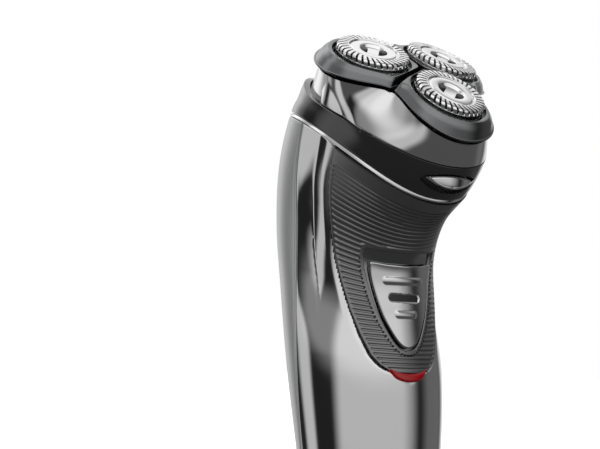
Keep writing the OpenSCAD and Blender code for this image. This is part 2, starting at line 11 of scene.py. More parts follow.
import bpy
import mathutils
import numpy as np
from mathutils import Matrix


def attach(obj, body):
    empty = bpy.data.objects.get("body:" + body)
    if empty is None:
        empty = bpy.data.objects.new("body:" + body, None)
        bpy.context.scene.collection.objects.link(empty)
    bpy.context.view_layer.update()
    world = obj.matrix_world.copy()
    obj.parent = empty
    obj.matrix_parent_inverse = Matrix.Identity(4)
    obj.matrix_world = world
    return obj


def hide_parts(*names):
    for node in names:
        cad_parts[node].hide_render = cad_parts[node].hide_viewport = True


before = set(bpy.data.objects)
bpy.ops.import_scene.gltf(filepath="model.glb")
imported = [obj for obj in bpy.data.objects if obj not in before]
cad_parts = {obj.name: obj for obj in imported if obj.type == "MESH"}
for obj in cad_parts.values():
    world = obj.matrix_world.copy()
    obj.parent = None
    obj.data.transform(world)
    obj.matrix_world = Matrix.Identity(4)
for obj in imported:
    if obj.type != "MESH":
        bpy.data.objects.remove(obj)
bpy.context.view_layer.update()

# %% [markdown]
# ## The camera
# The shaver is seen from its front left, almost level, through a long lens, with the
# camera rolled a little. A camera's matrix has its right, up and backward directions as
# columns, so three angles and a place are all it takes. It is made first, because
# everything else is judged through it.

# %% Camera
VIEW_TURN = 37.76        # degrees that the camera stands to the left of the front
VIEW_HEIGHT = -1.79      # degrees that it looks down, so it looks up a little
VIEW_ROLL = 2.39         # degrees that it is rolled
CAMERA_PLACE = (-0.5853, -0.7152, 0.0758)    # metres
SENSOR_WIDTH = 36        # mm
FOCAL_LENGTH = 186.97    # mm


def camera_axes(turn, height, roll):
    """Right, up and backward directions: turned about Z, tilted, then rolled about the view."""
    a, e, r = np.radians([turn, height, roll])
    back = np.array([-math.sin(a)*math.cos(e), -math.cos(a)*math.cos(e), math.sin(e)])
    right = np.array([math.cos(a), -math.sin(a), 0])
    up = np.cross(back, right)
    return right*math.cos(r) + up*math.sin(r), up*math.cos(r) - right*math.sin(r), back


camera = bpy.data.objects.new("camera", bpy.data.cameras.new("camera"))
bpy.context.collection.objects.link(camera)
camera.data.sensor_width = SENSOR_WIDTH
camera.data.lens = FOCAL_LENGTH
camera_matrix = np.eye(4)
camera_matrix[:3, :3] = np.column_stack(camera_axes(VIEW_TURN, VIEW_HEIGHT, VIEW_ROLL))
camera_matrix[:3, 3] = CAMERA_PLACE
camera.matrix_world = mathutils.Matrix(camera_matrix.tolist())
bpy.context.scene.camera = camera
print("camera at", CAMERA_PLACE, "with a", FOCAL_LENGTH, "mm lens")

# %% [markdown]
# ## The casing's surface
# A handle like this is drawn as a stack of tilted rings that a smooth skin joins. Two
# numbers then name any point on it: s, the ring, and b, the angle round from the front.
# All the casing's parts are pieces of this one surface, so they meet without a step.
# Lengths are in millimetres until a mesh is made.

# %% Rings of the handle
# front y, front z, back y, back z, half width, rise of the sides, seam angle
STATIONS = np.array([
    [-15.5,   0.0, 15.5,   0.0, 17.5, 0.0, 105],
    [-16.2,  15.0, 17.7,  15.0, 19.7, 0.0, 104],
    [-16.3,  38.0, 21.5,  38.0, 22.2, 0.0, 103],
    [-15.0,  60.0, 27.0,  62.0, 23.6, 0.0,  97],
    [-11.2,  80.0, 33.0,  86.0, 22.9, 1.0,  92],
    [-10.2,  93.0, 37.0, 106.0, 22.8, 2.8,  89],
    [-15.6, 104.0, 37.0, 124.0, 23.4, 5.2,  95],
    [-27.5, 113.2, 32.2, 139.4, 24.3, 7.0, 104],
    [-32.7, 122.0, 26.4, 146.7, 24.6, 3.2, 105],
    [-33.2, 129.6, 18.2, 159.0, 25.0, 0.0, 105]])
SQUARENESS = 0.93        # a power: 1 would give plain ellipses
WALL = 1.8               # mm, depth of the collar's inner face
SHELL_FROM, SHELL_TO = 0.375, 6.84       # first and last ring of the shells
COLLAR_FROM, COLLAR_TO = 6.94, 8.0       # and of the collar


def station(s):
    """Ring s: a smooth (Catmull-Rom) blend of the four nearest rows of the table."""
    s = np.asarray(s, float)
    last = len(STATIONS) - 1
    i = np.clip(np.floor(s).astype(int), 0, last - 1)
    t = (s - i)[..., None]
    a, b, c, d = (STATIONS[np.clip(i + k, 0, last)] for k in (-1, 0, 1, 2))
    return 0.5*(2*b + (c - a)*t + (2*a - 5*b + 4*c - d)*t**2 + (3*b - a - 3*c + d)*t**3)


def squared(c):
    """A cosine or sine, pushed outwards a little: its size to the power of the squareness."""
    return np.sign(c)*np.abs(c)**SQUARENESS


def skin(s, b, inset=0.0):
    """Point of ring s at angle b in degrees: an ellipse, squared up, tilted by its front and
    back points, with its sides raised, and drawn in by inset."""
    s, b, inset = np.broadcast_arrays(*(np.asarray(v, float) for v in (s, b, inset)))
    q = station(s)
    angle = np.radians(b)
    half_y, half_z = (q[..., 2] - q[..., 0])/2, (q[..., 3] - q[..., 1])/2
    depth = squared(np.cos(angle))*(1 - inset/np.hypot(half_y, half_z))
    x = (q[..., 4] - inset)*squared(np.sin(angle))
    y = (q[..., 0] + q[..., 2])/2 - half_y*depth
    z = (q[..., 1] + q[..., 3])/2 - half_z*depth + q[..., 5]*np.sin(angle)**2
    return np.stack([x, y, z], -1)


def seam(s):
    """Angle of the seam between the front shell and the rear cover."""
    return station(s)[..., 6]


print("handle from z =", skin(0, 0)[2], "to", round(float(skin(8, 180)[2]), 1), "mm")

# %% [markdown]
# ## From numbers to meshes
# Every surface here is a grid of points with rows and columns. A sheet of a grid becomes
# four-cornered faces by joining each point to its neighbours. A wall is two sheets, the
# outer and the inner, joined along their edges, so that each piece is a closed solid.

# %% Grids to meshes
MM = 0.001


def sheet_faces(rows, cols, loop=False, start=0, flip=False):
    """Corner numbers of a grid's faces: each point, its right neighbour, and the two above."""
    r = np.arange(rows - 1)[:, None]
    c = np.arange(cols if loop else cols - 1)[None, :]
    low, low_next = r*cols + c, r*cols + (c + 1) % cols
    faces = np.stack([low, low_next, low_next + cols, low + cols], -1).reshape(-1, 4) + start
    return faces[:, ::-1] if flip else faces


def strip_faces(a, b, loop=False):
    """Faces of the ribbon between two equal rows of point numbers."""
    if loop:
        a, b = np.append(a, a[0]), np.append(b, b[0])
    return np.stack([a[:-1], a[1:], b[1:], b[:-1]], -1)


SHARP_ANGLE = math.radians(38)           # an edge that bends more than this stays crisp


def volume(points, faces):
    """Signed volume inside a closed mesh: the sum of the corners' triple products, a sixth of it
    for each triangle. It comes out negative when the faces point inwards."""
    triangles = np.array([(f[0], f[k], f[k + 1]) for f in faces for k in range(1, len(f) - 1)])
    a, b, c = (points[triangles[:, k]] for k in range(3))
    return float(np.einsum("ij,ij->i", a, np.cross(b, c)).sum()/6)


def make_object(name, points, faces, material):
    """Mesh object at the origin from points in millimetres, with its faces turned outwards."""
    points = np.asarray(points, float).reshape(-1, 3)
    faces = [list(f) for f in faces]
    if volume(points, faces) < 0:
        faces = [f[::-1] for f in faces]
    mesh = bpy.data.meshes.new(name)
    mesh.from_pydata((points*MM).tolist(), [], faces)
    mesh.polygons.foreach_set("use_smooth", np.full(len(mesh.polygons), True))
    mesh.set_sharp_from_angle(angle=SHARP_ANGLE)
    mesh.materials.append(material)
    piece = bpy.data.objects.new(name, mesh)
    bpy.context.collection.objects.link(piece)
    return piece


def fit_in(piece, body, nodes):
    """The piece rides on a body and stands for CAD nodes, which are hidden."""
    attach(piece, body)
    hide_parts(*nodes)


def wall_piece(name, outer, inner, material, loop=False):
    """Closed wall between two grids of equal size. Rows run upwards and columns to the right,
    as seen from outside."""
    rows, cols = outer.shape[:2]
    n = rows*cols
    index = np.arange(n).reshape(rows, cols)
    faces = [sheet_faces(rows, cols, loop), sheet_faces(rows, cols, loop, n, True),
             strip_faces(n + index[0], index[0], loop), strip_faces(index[-1], n + index[-1], loop)]
    if not loop:
        faces += [strip_faces(index[:, 0], n + index[:, 0]), strip_faces(n + index[:, -1], index[:, -1])]
    points = np.concatenate([outer.reshape(-1, 3), inner.reshape(-1, 3)])
    return make_object(name, points, np.concatenate(faces), material)


def closed_piece(name, points, material):
    """Ring-shaped solid whose rows and columns both close on themselves."""
    rows, cols = points.shape[:2]
    faces = sheet_faces(rows + 1, cols, True) % (rows*cols)
    return make_object(name, points, faces, material)


def capped_piece(name, points, material):
    """Solid from rings of points: the columns close, and the first and last rows are filled."""
    rows, cols = points.shape[:2]
    faces = [list(f) for f in sheet_faces(rows, cols, True)]
    faces += [list(range(cols))[::-1], list(range((rows - 1)*cols, rows*cols))]
    return make_object(name, points, faces, material)


def span(low, high, count, edge=0.0):
    """Values from low to high, with a few extra ones close to each end to round an edge."""
    even = np.linspace(low, high, count)
    if not edge:
        return even
    near = np.array([0.15, 0.4, 0.7, 1.0])*edge
    return np.concatenate([[low], low + near, even[1:-1], high - near[::-1], [high]])


def rolled(distance, radius):
    """How far a rounded edge falls away: a quarter circle of that radius beside the edge."""
    d = np.clip(np.asarray(distance)/radius, 0, 1)
    return radius*(1 - np.sqrt(1 - (1 - d)**2))

# %% [markdown]
# ## Finishes
# Each material below is one real finish. A Principled shader holds the look of the whole
# surface, and a little noise breaks it up as dust, polishing and moulding do. Colours are
# written as the hex values that a screen shows and turned to linear light once.

# %% Helpers for materials
def linear(hex_colour):
    """sRGB hex to linear red, green, blue, alpha."""
    values = [int(hex_colour[i:i + 2], 16)/255 for i in (1, 3, 5)]
    return [v/12.92 if v <= 0.04045 else ((v + 0.055)/1.055)**2.4 for v in values] + [1.0]


def add_node(tree, kind, settings=None, links=None):
    """One node with its settings, by attribute or input name, and links into its inputs."""
    node = tree.nodes.new(kind)
    for key, value in (settings or {}).items():
        if hasattr(node, key):
            setattr(node, key, value)
        else:
            node.inputs[key].default_value = value
    for key, output in (links or {}).items():
        tree.links.new(output, node.inputs[key])
    return node


CLOUD_SCALE = 60.0       # the slow drift of colour: patches about 17 mm across


def finish(name, colour, metallic, roughness, grain_mm=0.6, variation=0.06, bump=0.0, stretch=(1, 1, 1),
           rough_spread=0.04, **extra):
    """A material: one colour that drifts by variation, roughness that drifts by rough_spread,
    and a fine grain whose size is grain_mm, stretched along an axis for a brushed metal."""
    material = bpy.data.materials.new(name)
    material.use_nodes = True
    tree = material.node_tree
    shader = tree.nodes["Principled BSDF"]
    shader.inputs["Metallic"].default_value = metallic
    for key, value in extra.items():
        shader.inputs[key.replace("_", " ")].default_value = value
    place = add_node(tree, "ShaderNodeTexCoord")
    scaled = add_node(tree, "ShaderNodeMapping", {"Scale": stretch}, {"Vector": place.outputs["Object"]})
    grain = add_node(tree, "ShaderNodeTexNoise", {"Scale": 1/(grain_mm*MM), "Detail": 3.0},
                     {"Vector": scaled.outputs["Vector"]})
    cloud = add_node(tree, "ShaderNodeTexNoise", {"Scale": CLOUD_SCALE, "Detail": 2.0},
                     {"Vector": place.outputs["Object"]})
    base = linear(colour)
    tint = add_node(tree, "ShaderNodeMix", {"data_type": "RGBA"}, {"Factor": cloud.outputs["Fac"]})
    tint.inputs["A"].default_value = [c*(1 - variation) for c in base[:3]] + [1]
    tint.inputs["B"].default_value = [min(1, c*(1 + variation)) for c in base[:3]] + [1]
    tree.links.new(tint.outputs["Result"], shader.inputs["Base Color"])
    rough = add_node(tree, "ShaderNodeMapRange", {"To Min": max(0.02, roughness - rough_spread),
                     "To Max": roughness + rough_spread}, {"Value": grain.outputs["Fac"]})
    tree.links.new(rough.outputs["Result"], shader.inputs["Roughness"])
    if bump:
        raised = add_node(tree, "ShaderNodeBump", {"Strength": 1.0, "Distance": bump*MM},
                          {"Height": grain.outputs["Fac"]})
        tree.links.new(raised.outputs["Normal"], shader.inputs["Normal"])
    return material


# %% [markdown]
# ## The shaver's own finishes
# The outside is lacquer, gloss ABS, rubber and polished steel. The inside is plain moulded
# plastic and turned, drawn or ground metal. Each gets its own colour, its own share of
# metal and its own roughness, because those three decide how it takes the light.

# %% The shaver's finishes
# silver lacquer sprayed on ABS, with a clear coat: an almost clear mirror under a thin glaze
silver_lacquer = finish("silver_lacquer", "#d0d0d0", 1.0, 0.09, 0.25, 0.03, rough_spread=0.02,
                        Coat_Weight=0.3, Coat_Roughness=0.05)
# moulded ABS sprayed with satin grey paint: soft, wide highlights
satin_grey_paint = finish("satin_grey_paint", "#c3c4c5", 0.4, 0.30, 0.4, 0.03, 0.004)
# gloss black ABS from a polished mould: dark, with clear reflections
piano_black_abs = finish("piano_black_abs", "#2b2b2c", 0.0, 0.12, 0.8, 0.05, Coat_Weight=0.5)
# tinted chrome plating on ABS: a dim mirror
smoked_chrome = finish("smoked_chrome", "#8a8b8d", 1.0, 0.12, 0.3, 0.03)
# chrome plating on ABS: a bright mirror
bright_chrome = finish("bright_chrome", "#d8d8d8", 1.0, 0.07, 0.3, 0.02)
# thermoplastic rubber from a finely blasted mould: near black, with a greyish sheen
soft_touch_rubber = finish("soft_touch_rubber", "#2d2d2e", 0.0, 0.30, 0.12, 0.08, 0.006, IOR=1.9,
                           Specular_IOR_Level=1.0)
# gunmetal paint with fine flakes, sprayed: dark and satin
gunmetal_paint = finish("gunmetal_paint", "#7a7b7c", 1.0, 0.22, 0.2, 0.04)
# metallic lacquer under a clear coat, a little duller than the shell's
polished_gunmetal = finish("polished_gunmetal", "#d4d4d4", 1.0, 0.11, 0.25, 0.03, rough_spread=0.02,
                           Coat_Weight=0.3)
# stainless steel, pressed, lapped and polished: bright, with slightly soft highlights
polished_steel = finish("polished_steel", "#ececec", 1.0, 0.13, 0.15, 0.04, 0.003)
# stainless steel as the grinding wheel leaves it: grey, with fine lines
ground_steel = finish("ground_steel", "#9a9b9c", 1.0, 0.32, 0.1, 0.06, 0.004, (1, 1, 6))
# silver paint on the switch, sprayed and lightly polished: a soft mirror
satin_silver = finish("satin_silver", "#cbcbcb", 1.0, 0.13, 0.2, 0.03, rough_spread=0.02)
# red polycarbonate, moulded: a deep red with one clear highlight
red_polycarbonate = finish("red_polycarbonate", "#a8000e", 0.0, 0.14, 0.6, 0.05, Coat_Weight=0.1)
# black ABS from a spark-eroded mould: flat and dark
dark_abs = finish("dark_abs", "#1d1d1f", 0.0, 0.42, 0.2, 0.08, 0.01)
# dark grey ABS of the inner frame, as moulded: flat
frame_abs = finish("frame_abs", "#3a3b3d", 0.0, 0.48, 0.3, 0.06, 0.01)
# natural acetal, moulded: milky white, and light goes a little way in
acetal = finish("acetal", "#e4e2da", 0.0, 0.36, 0.4, 0.03, 0.004, Subsurface_Weight=0.05)
# steel turned on a lathe: fine lines and a broad highlight
turned_steel = finish("turned_steel", "#b2b3b4", 1.0, 0.28, 0.12, 0.05, 0.003, (1, 1, 8))
# drawn spring wire: smooth and bright
spring_wire = finish("spring_wire", "#c4c5c6", 1.0, 0.22, 0.1, 0.04)
# deep-drawn sheet steel of the motor's can: duller
drawn_steel = finish("drawn_steel", "#8f9194", 1.0, 0.34, 0.2, 0.05, 0.004)
# brass, machined: yellow, with a broad highlight
machined_brass = finish("machined_brass", "#c9a45a", 1.0, 0.28, 0.15, 0.06, 0.003)
# rolled nickel strip on the cells: warm grey
nickel_strip = finish("nickel_strip", "#b9b29c", 1.0, 0.3, 0.2, 0.05, 0.003)
# shrunk PVC sleeve of a cell: smooth green
shrink_sleeve = finish("shrink_sleeve", "#3c6b45", 0.0, 0.22, 0.8, 0.04)
# solder mask printed on the circuit board: glossy green
solder_mask = finish("solder_mask", "#1f5a3a", 0.0, 0.25, 0.3, 0.06, 0.004)
# cast epoxy of the lamp: pale and clear
clear_epoxy = finish("clear_epoxy", "#d9c4bd", 0.0, 0.1, 0.5, 0.03, Transmission_Weight=0.6)
print("materials:", len(bpy.data.materials))

# %% [markdown]
# ## The casing shells
# The front shell and the rear cover are two pieces of the casing's surface. Each is a wall
# with rounded edges, so the seam between them catches a fine line of light.

# %% Front shell and rear cover
# the grip's edge: how far round from the front it lies, in degrees, at each of these rings
GRIP_S = [3.08, 3.10, 3.14, 3.20, 3.32, 3.60, 3.95, 4.35, 4.82, 5.25, 5.60, 6.02, 6.35, 6.75, 6.90]
GRIP_B = [4.0, 10.0, 17.0, 23.0, 29.5, 37.0, 44.0, 49.0, 54.0, 58.0, 62.0, 67.0, 71.0, 75.0, 76.0]


def grip_half(s):
    """Half of the grip's width at ring s, as an angle."""
    return np.interp(s, GRIP_S, GRIP_B, left=0)


def ramp(value):
    """Smooth step from 0 to 1 while value goes from 0 to 1."""
    value = np.clip(value, 0, 1)
    return value**2*(3 - 2*value)


def from_front(b):
    """Angle from the front of the handle on either side, 0 to 180."""
    return np.abs((b + 180) % 360 - 180)


def mm_per_degree(s):
    """Length of one degree of a ring near its front."""
    return station(s)[..., 4]*math.pi/180


EDGE = 0.5               # mm, radius of the shells' edges
SEAM_GAP = 0.3           # degrees from the seam to each shell's edge
SHELL_DEPTH = WALL + 1.0             # mm, depth of the shells' inner face
SHELL_STEP = 15          # mm of surface to one ring step, about, at the ends of the shells
GRIP_STEP = 17           # and at the grip's lower end
COLLAR_STEP = 16         # and on the collar


def shell_grid(s, lo, hi, u, base_inset, round_edge):
    """Rows at rings s and columns from angle lo(s) to hi(s), rolled over at the edges."""
    s_grid = np.broadcast_to(s[:, None], (len(s), len(u)))
    low, high = lo(s)[:, None], hi(s)[:, None]
    b = low + (high - low)*u[None, :]
    inset = np.full(b.shape, float(base_inset))
    if round_edge:
        side = np.minimum(b - low, high - b)*mm_per_degree(s)[:, None]
        end = np.minimum(s_grid - s[0], s[-1] - s_grid)*SHELL_STEP
        inset = inset + np.maximum(rolled(side, EDGE), rolled(end, EDGE))
    return s_grid, b, inset


def casing_piece(name, s, u, lo, hi, material, relief=None):
    """Shell between two angles: its outer face is drawn in by a relief, its inner face is plain."""
    s_grid, b, inset = shell_grid(s, lo, hi, u, 0, True)
    if relief:
        inset = inset + relief(s_grid, b)
    outer = skin(s_grid, b, inset)
    inner = skin(*shell_grid(s, lo, hi, u, SHELL_DEPTH, False))
    return wall_piece(name, outer, inner, material)


def grip_relief(s, b):
    """The shell drops away under the grip, with a soft chamfer that leads down to it."""
    outside = (np.abs(b) - grip_half(s))*mm_per_degree(s)
    below = (GRIP_S[0] - s)*GRIP_STEP
    outside = np.where(s < GRIP_S[0], np.hypot(np.maximum(outside, 0), below), outside)
    chamfer = 0.55*np.clip(1 - outside/2.4, 0, 1)**1.3
    return np.where(outside < 0.05, 1.5, chamfer + flank_relief(s, b))


# A valley runs up each flank: its angle at some rings. The shell sinks towards it from the
# grip, a little faster all the way, and comes straight back up to the seam.
VALLEY_S = [3.2, 3.6, 4.1, 5.0, 5.65, 6.2, 6.8]
VALLEY_B = [68.0, 69.0, 72.0, 76.0, 79.0, 83.0, 88.0]
VALLEY_DEPTH = 2.2


def flank_relief(s, b):
    """Depth below the casing's surface: a power of the share of the way from grip to valley,
    times a straight return to the seam, fading out at the valley's lower end."""
    valley, start, a = np.interp(s, VALLEY_S, VALLEY_B), grip_half(s) - 1, np.abs(b)
    down = np.clip((a - start)/(valley - start), 0, 1)**1.2
    back = np.clip((seam(s) - a)/(seam(s) - valley), 0, 1)
    depth = VALLEY_DEPTH*ramp((s - 3.25)/1.15)*(1 - 0.5*ramp((s - 5.0)/1.3))
    return depth*down*back


shell_s = span(SHELL_FROM, SHELL_TO, 260, 0.03)
shell_u = span(0, 1, 170, 0.005)
front_shell = casing_piece("front_shell_skin", shell_s, shell_u, lambda s: SEAM_GAP - seam(s),
                           lambda s: seam(s) - SEAM_GAP, silver_lacquer, grip_relief)
cover_s = span(SHELL_FROM, SHELL_TO, 120, 0.03)
cover_u = span(0, 1, 80, 0.005)
rear_cover = casing_piece("rear_cover_skin", cover_s, cover_u, lambda s: seam(s) + SEAM_GAP,
                          lambda s: 360 - SEAM_GAP - seam(s), satin_grey_paint)
fit_in(front_shell, "handle", ["front_shell"])
fit_in(rear_cover, "handle", ["rear_cover"])
print("shell faces:", len(front_shell.data.polygons), len(rear_cover.data.polygons))

# %% [markdown]
# ## The rim and the hinge's ears
# A thin chromed rim lies between the shells and the collar. It is a whole ring of the same
# surface, and its rows bulge a little, so it catches a line of light. Behind the collar stand
# two ears for the hinge pin. They are turned shapes: a profile carried round an axis.

# %% Rim and hinge ears
HINGE = (27.7, 147.3)    # y and z of the hinge pin, mm


def ring_piece(name, s, insets, inner, material, cols=240):
    """Whole ring of the casing: one row per ring value, drawn in by its own inset."""
    b = np.arange(cols)*360/cols
    outer = skin(s[:, None], b[None, :], np.asarray(insets)[:, None])
    return wall_piece(name, outer, skin(s[:, None], b[None, :], inner), material, loop=True)


rim_t = np.array([0, 0.06, 0.14, 0.24, 0.4, 0.6, 0.8, 1])
rim_s = SHELL_TO + 0.01 + (COLLAR_FROM - SHELL_TO - 0.02)*rim_t      # a hair clear of both
rim_insets = [0.35, 0.08, -0.06, -0.08, 0.02, 0.16, 0.32, 0.5]
rim = ring_piece("collar_rim_skin", rim_s, rim_insets, WALL, bright_chrome)


def lathe(name, profile, axis_matrix, material, count=48):
    """Solid of revolution: a closed profile of (radius, height) turned round the local Z axis,
    then placed by a 4 x 4 matrix in millimetres. A profile that starts and ends on the axis
    is closed there by a cap."""
    profile = np.asarray(profile, float)
    angle = np.arange(count)*2*math.pi/count
    ring = np.stack([np.cos(angle), np.sin(angle)], -1)
    on_axis = profile[0, 0] == 0 and profile[-1, 0] == 0
    body = profile[1:-1] if on_axis else profile
    points = np.concatenate([body[:, None, :1]*ring[None], np.broadcast_to(body[:, None, 1:],
                            (len(body), count, 1))], -1)
    points = points @ axis_matrix[:3, :3].T + axis_matrix[:3, 3]
    return capped_piece(name, points, material) if on_axis else closed_piece(name, points, material)


def frame_matrix(origin, z_axis, x_axis):
    """Matrix of a local frame from its origin, its Z axis and the rough direction of X."""
    z = np.asarray(z_axis, float)/np.linalg.norm(z_axis)
    y = np.cross(z, x_axis)
    y /= np.linalg.norm(y)
    m = np.eye(4)
    m[:3, :3] = np.column_stack([np.cross(y, z), y, z])
    m[:3, 3] = origin
    return m


along_x = frame_matrix((0, HINGE[0], HINGE[1]), (1, 0, 0), (0, 1, 0))


KNUCKLE_R = 1.9          # mm
PIN_HOLE = 0.95
KNUCKLE_CHAMFER = 0.25


def knuckle(name, low, high, material):
    """Hinge barrel round the X axis, with chamfered rims."""
    r, hole, c = KNUCKLE_R, PIN_HOLE, KNUCKLE_CHAMFER
    profile = [(hole, low), (r - c, low), (r, low + c), (r, high - c), (r - c, high), (hole, high)]
    return lathe(name, profile, along_x, material)


for name, low, high in (("hinge_ear_left", -7, -3.5), ("hinge_ear_right", 3.5, 7)):
    fit_in(knuckle(name, low, high, piano_black_abs), "handle", ["collar_band"])
fit_in(rim, "handle", ["collar_rim"])
print("rim from ring", round(float(rim_s[0]), 2), "to", round(float(rim_s[-1]), 2))

# %% [markdown]
# ## Outlines seen from the front
# The grip's window, the switch, the red lens and the release button are all shapes that a
# designer draws on a front view and then projects onto the curved casing. So each one is a
# short outline of x and z, and Newton's method finds the place on the casing behind it.

# %% Outlines and their projection onto the casing
TRACK_EDGE = [(0, 68.4), (2.2, 68.8), (4.2, 70.2), (6.2, 73), (8.7, 78), (10.6, 84), (12.8, 94), (13, 98.6),
              (9, 97.9), (0, 97.4)]
SLIDER_EDGE = [(0, 69.4), (1.8, 69.8), (3.5, 71.1), (5.5, 74), (7.8, 78.6), (9.6, 84.4), (11.4, 92.6),
               (11.2, 94.2), (6, 93.7), (0, 93.5)]
LENS_EDGE = [(0, 59.4), (3, 59.7), (5.6, 60.9), (7.5, 63.9), (5.2, 62.9), (2.6, 62.2), (0, 62.0)]
BUTTON_EDGE = [(0, 115.9), (3.4, 116.3), (6.4, 117.4), (8.6, 118.9), (5, 119.3), (0, 119.5)]


def smooth(points, steps=8):
    """Curve through points: the same blend as the handle's rings, once for each stretch."""
    points = np.asarray(points, float)
    last = len(points) - 1
    t = np.linspace(0, last, last*steps + 1)
    i = np.clip(np.floor(t).astype(int), 0, last - 1)
    f = (t - i)[:, None]
    a, b, c, d = (points[np.clip(i + k, 0, last)] for k in (-1, 0, 1, 2))
    return 0.5*(2*b + (c - a)*f + (2*a - 5*b + 4*c - d)*f**2 + (3*b - a - 3*c + d)*f**3)


def outline_sides(edge):
    """Half width of an outline and its smoothed lower and upper sides, parted at its widest point."""
    widest = max(range(len(edge)), key=lambda k: edge[k][0])
    return edge[widest][0], smooth(edge[:widest + 1]), smooth(edge[widest:])[::-1]


def closed_outline(edge):
    """The whole outline as points round it, from its right half."""
    half, low, high = outline_sides(edge)
    right = np.concatenate([low, high[::-1][1:]])
    return np.concatenate([right, (right*[-1, 1])[::-1][1:-1]])


def distance_inside(edge, x, z):
    """Distance from the outline, negative outside it. Every point is measured against every
    side, and a point is inside when a ray to its right crosses the outline an odd number of times."""
    a = closed_outline(edge)
    b = np.roll(a, -1, axis=0)
    p = np.stack([x, z], -1)[..., None, :]
    along = np.clip(((p - a)*(b - a)).sum(-1)/((b - a)**2).sum(-1).clip(1e-9), 0, 1)
    near = np.linalg.norm(p - a - along[..., None]*(b - a), axis=-1).min(-1)
    rise = np.where(b[:, 1] == a[:, 1], 1e-9, b[:, 1] - a[:, 1])
    crossing = a[:, 0] + (p[..., 1] - a[:, 1])*(b[:, 0] - a[:, 0])/rise
    hits = ((a[:, 1] > p[..., 1]) != (b[:, 1] > p[..., 1])) & (p[..., 0] < crossing)
    return np.where(hits.sum(-1) % 2 == 1, near, -near)


FRONT_RINGS = np.linspace(0, 8.2, 200)       # a first guess for Newton's method
FRONT_HEIGHTS = skin(FRONT_RINGS, 0)[:, 2]


def front_point(x, z, inset=0.0, rounds=10):
    """Point of the casing's front with a given x and z. The angle follows from x, and Newton's
    method then moves the ring until the height is right."""
    x, z, inset = np.broadcast_arrays(*(np.asarray(v, float) for v in (x, z, inset)))
    s = np.interp(z, FRONT_HEIGHTS, FRONT_RINGS)
    for _ in range(rounds):
        share = np.clip(x/(station(s)[..., 4] - inset), -1, 1)
        b = np.degrees(np.arcsin(np.sign(share)*np.abs(share)**(1/SQUARENESS)))
        here = skin(s, b, inset)[..., 2]
        slope = (skin(s + 0.01, b, inset)[..., 2] - here)/0.01
        s = np.clip(s + (z - here)/slope, 0, 8.3)
    return skin(s, b, inset)


TIP_SHARE = 0.992        # the outermost columns stop this close to an outline's tip


def outline_patch(name, edge, front, back, radius, material, cols=72, rows=40, relief=None):
    """Solid with a front outline: columns stand side by side from its lower to its upper side,
    closer together towards its ends, and its front edge is rounded by a radius."""
    half, low, high = outline_sides(edge)
    x = TIP_SHARE*half*np.sin(np.linspace(-1, 1, cols)*math.pi/2)
    up = 0.5 - 0.5*np.cos(np.linspace(0, math.pi, rows))
    bottom, top = np.interp(np.abs(x), low[:, 0], low[:, 1]), np.interp(np.abs(x), high[:, 0], high[:, 1])
    z = bottom + (top - bottom)*up[:, None]
    x = np.broadcast_to(x, z.shape)
    inset = front + rolled(np.maximum(distance_inside(edge, x, z), 0), radius)
    if relief:
        inset = inset - relief(x, z)
    return wall_piece(name, front_point(x, z, inset), front_point(x, z, back), material)


print("switch:", SLIDER_EDGE[0], "to", SLIDER_EDGE[-1], "lens:", LENS_EDGE[0])

# %% [markdown]
# ## The collar
# The collar is a short band of the same surface in gloss black. The release button sits in a
# pocket at its front, which is only a place where the surface drops to a floor, so the front
# has many narrow columns. Its rear corners rise on both sides of the hinge.

# %% Collar
REAR_RISE = 3.2          # mm that the rear corners rise
POCKET_FLOOR = 1.68      # mm, depth of the button's pocket
POCKET_MARGIN = 0.95     # mm that the pocket is wider than the button, all round
POCKET_SIDE = 0.2        # mm, width of its sloping side
TAB_S = (7.88, 7.985)    # rings of the small key at the collar's upper edge
TAB_B = (-67, -59.5)     # and its angles, on the left


def rear_lift(s, b):
    """Rise of the rear corners: it grows towards the back, stops beside the hinge, and fades
    out down the band."""
    lift = REAR_RISE*ramp((from_front(b) - 106)/46)*ramp((163 - from_front(b))/7)
    return lift*ramp((s - COLLAR_FROM - 0.4)/0.6)


def collar_piece():
    """The collar's ring, with a pocket for the release button and with raised rear corners."""
    columns = np.concatenate([np.linspace(-26, 26, 210), np.linspace(27.5, 332.5, 200)])
    rows = span(COLLAR_FROM, COLLAR_TO, 70, 0.02)
    s, b = np.meshgrid(rows, columns, indexing="ij")
    inset = rolled(np.minimum(s - COLLAR_FROM, COLLAR_TO - s)*COLLAR_STEP, 0.4)
    flat = skin(s, b, 1.0)
    close = from_front(b) < 27
    pocket = np.full(s.shape, -9.0)
    pocket[close] = distance_inside(BUTTON_EDGE, flat[close][:, 0], flat[close][:, 2])
    inset = inset + POCKET_FLOOR*np.clip((pocket + POCKET_MARGIN)/POCKET_SIDE, 0, 1)
    outer, inner = skin(s, b, inset), skin(s, b, WALL)
    outer[..., 2] += rear_lift(s, b)
    inner[..., 2] += rear_lift(s, b)
    return wall_piece("collar_skin", outer, inner, piano_black_abs, loop=True)


def locating_tab():
    """Small raised key: a patch of the surface that stands proud, with rolled edges."""
    s, b = np.meshgrid(span(*TAB_S, 8, 0.1), span(*TAB_B, 12, 0.06), indexing="ij")
    end = np.minimum(s - TAB_S[0], TAB_S[1] - s)*COLLAR_STEP
    side = np.minimum(b - TAB_B[0], TAB_B[1] - b)*0.42
    proud = 0.28 - rolled(np.minimum(end, side), 0.2)
    return wall_piece("collar_tab", skin(s, b, -proud), skin(s, b, 0.5), piano_black_abs)


for piece in (collar_piece(), locating_tab()):
    fit_in(piece, "handle", ["collar_band"])
    print(piece.name, "faces:", len(piece.data.polygons))

# %% [markdown]
# ## The base cap
# The foot of the handle is a black moulded cap with the charging socket's hole in it. Its
# section is walked once round, from the top edge down over a rounded corner, in to the
# hole and back up, and each point of that walk becomes a ring.

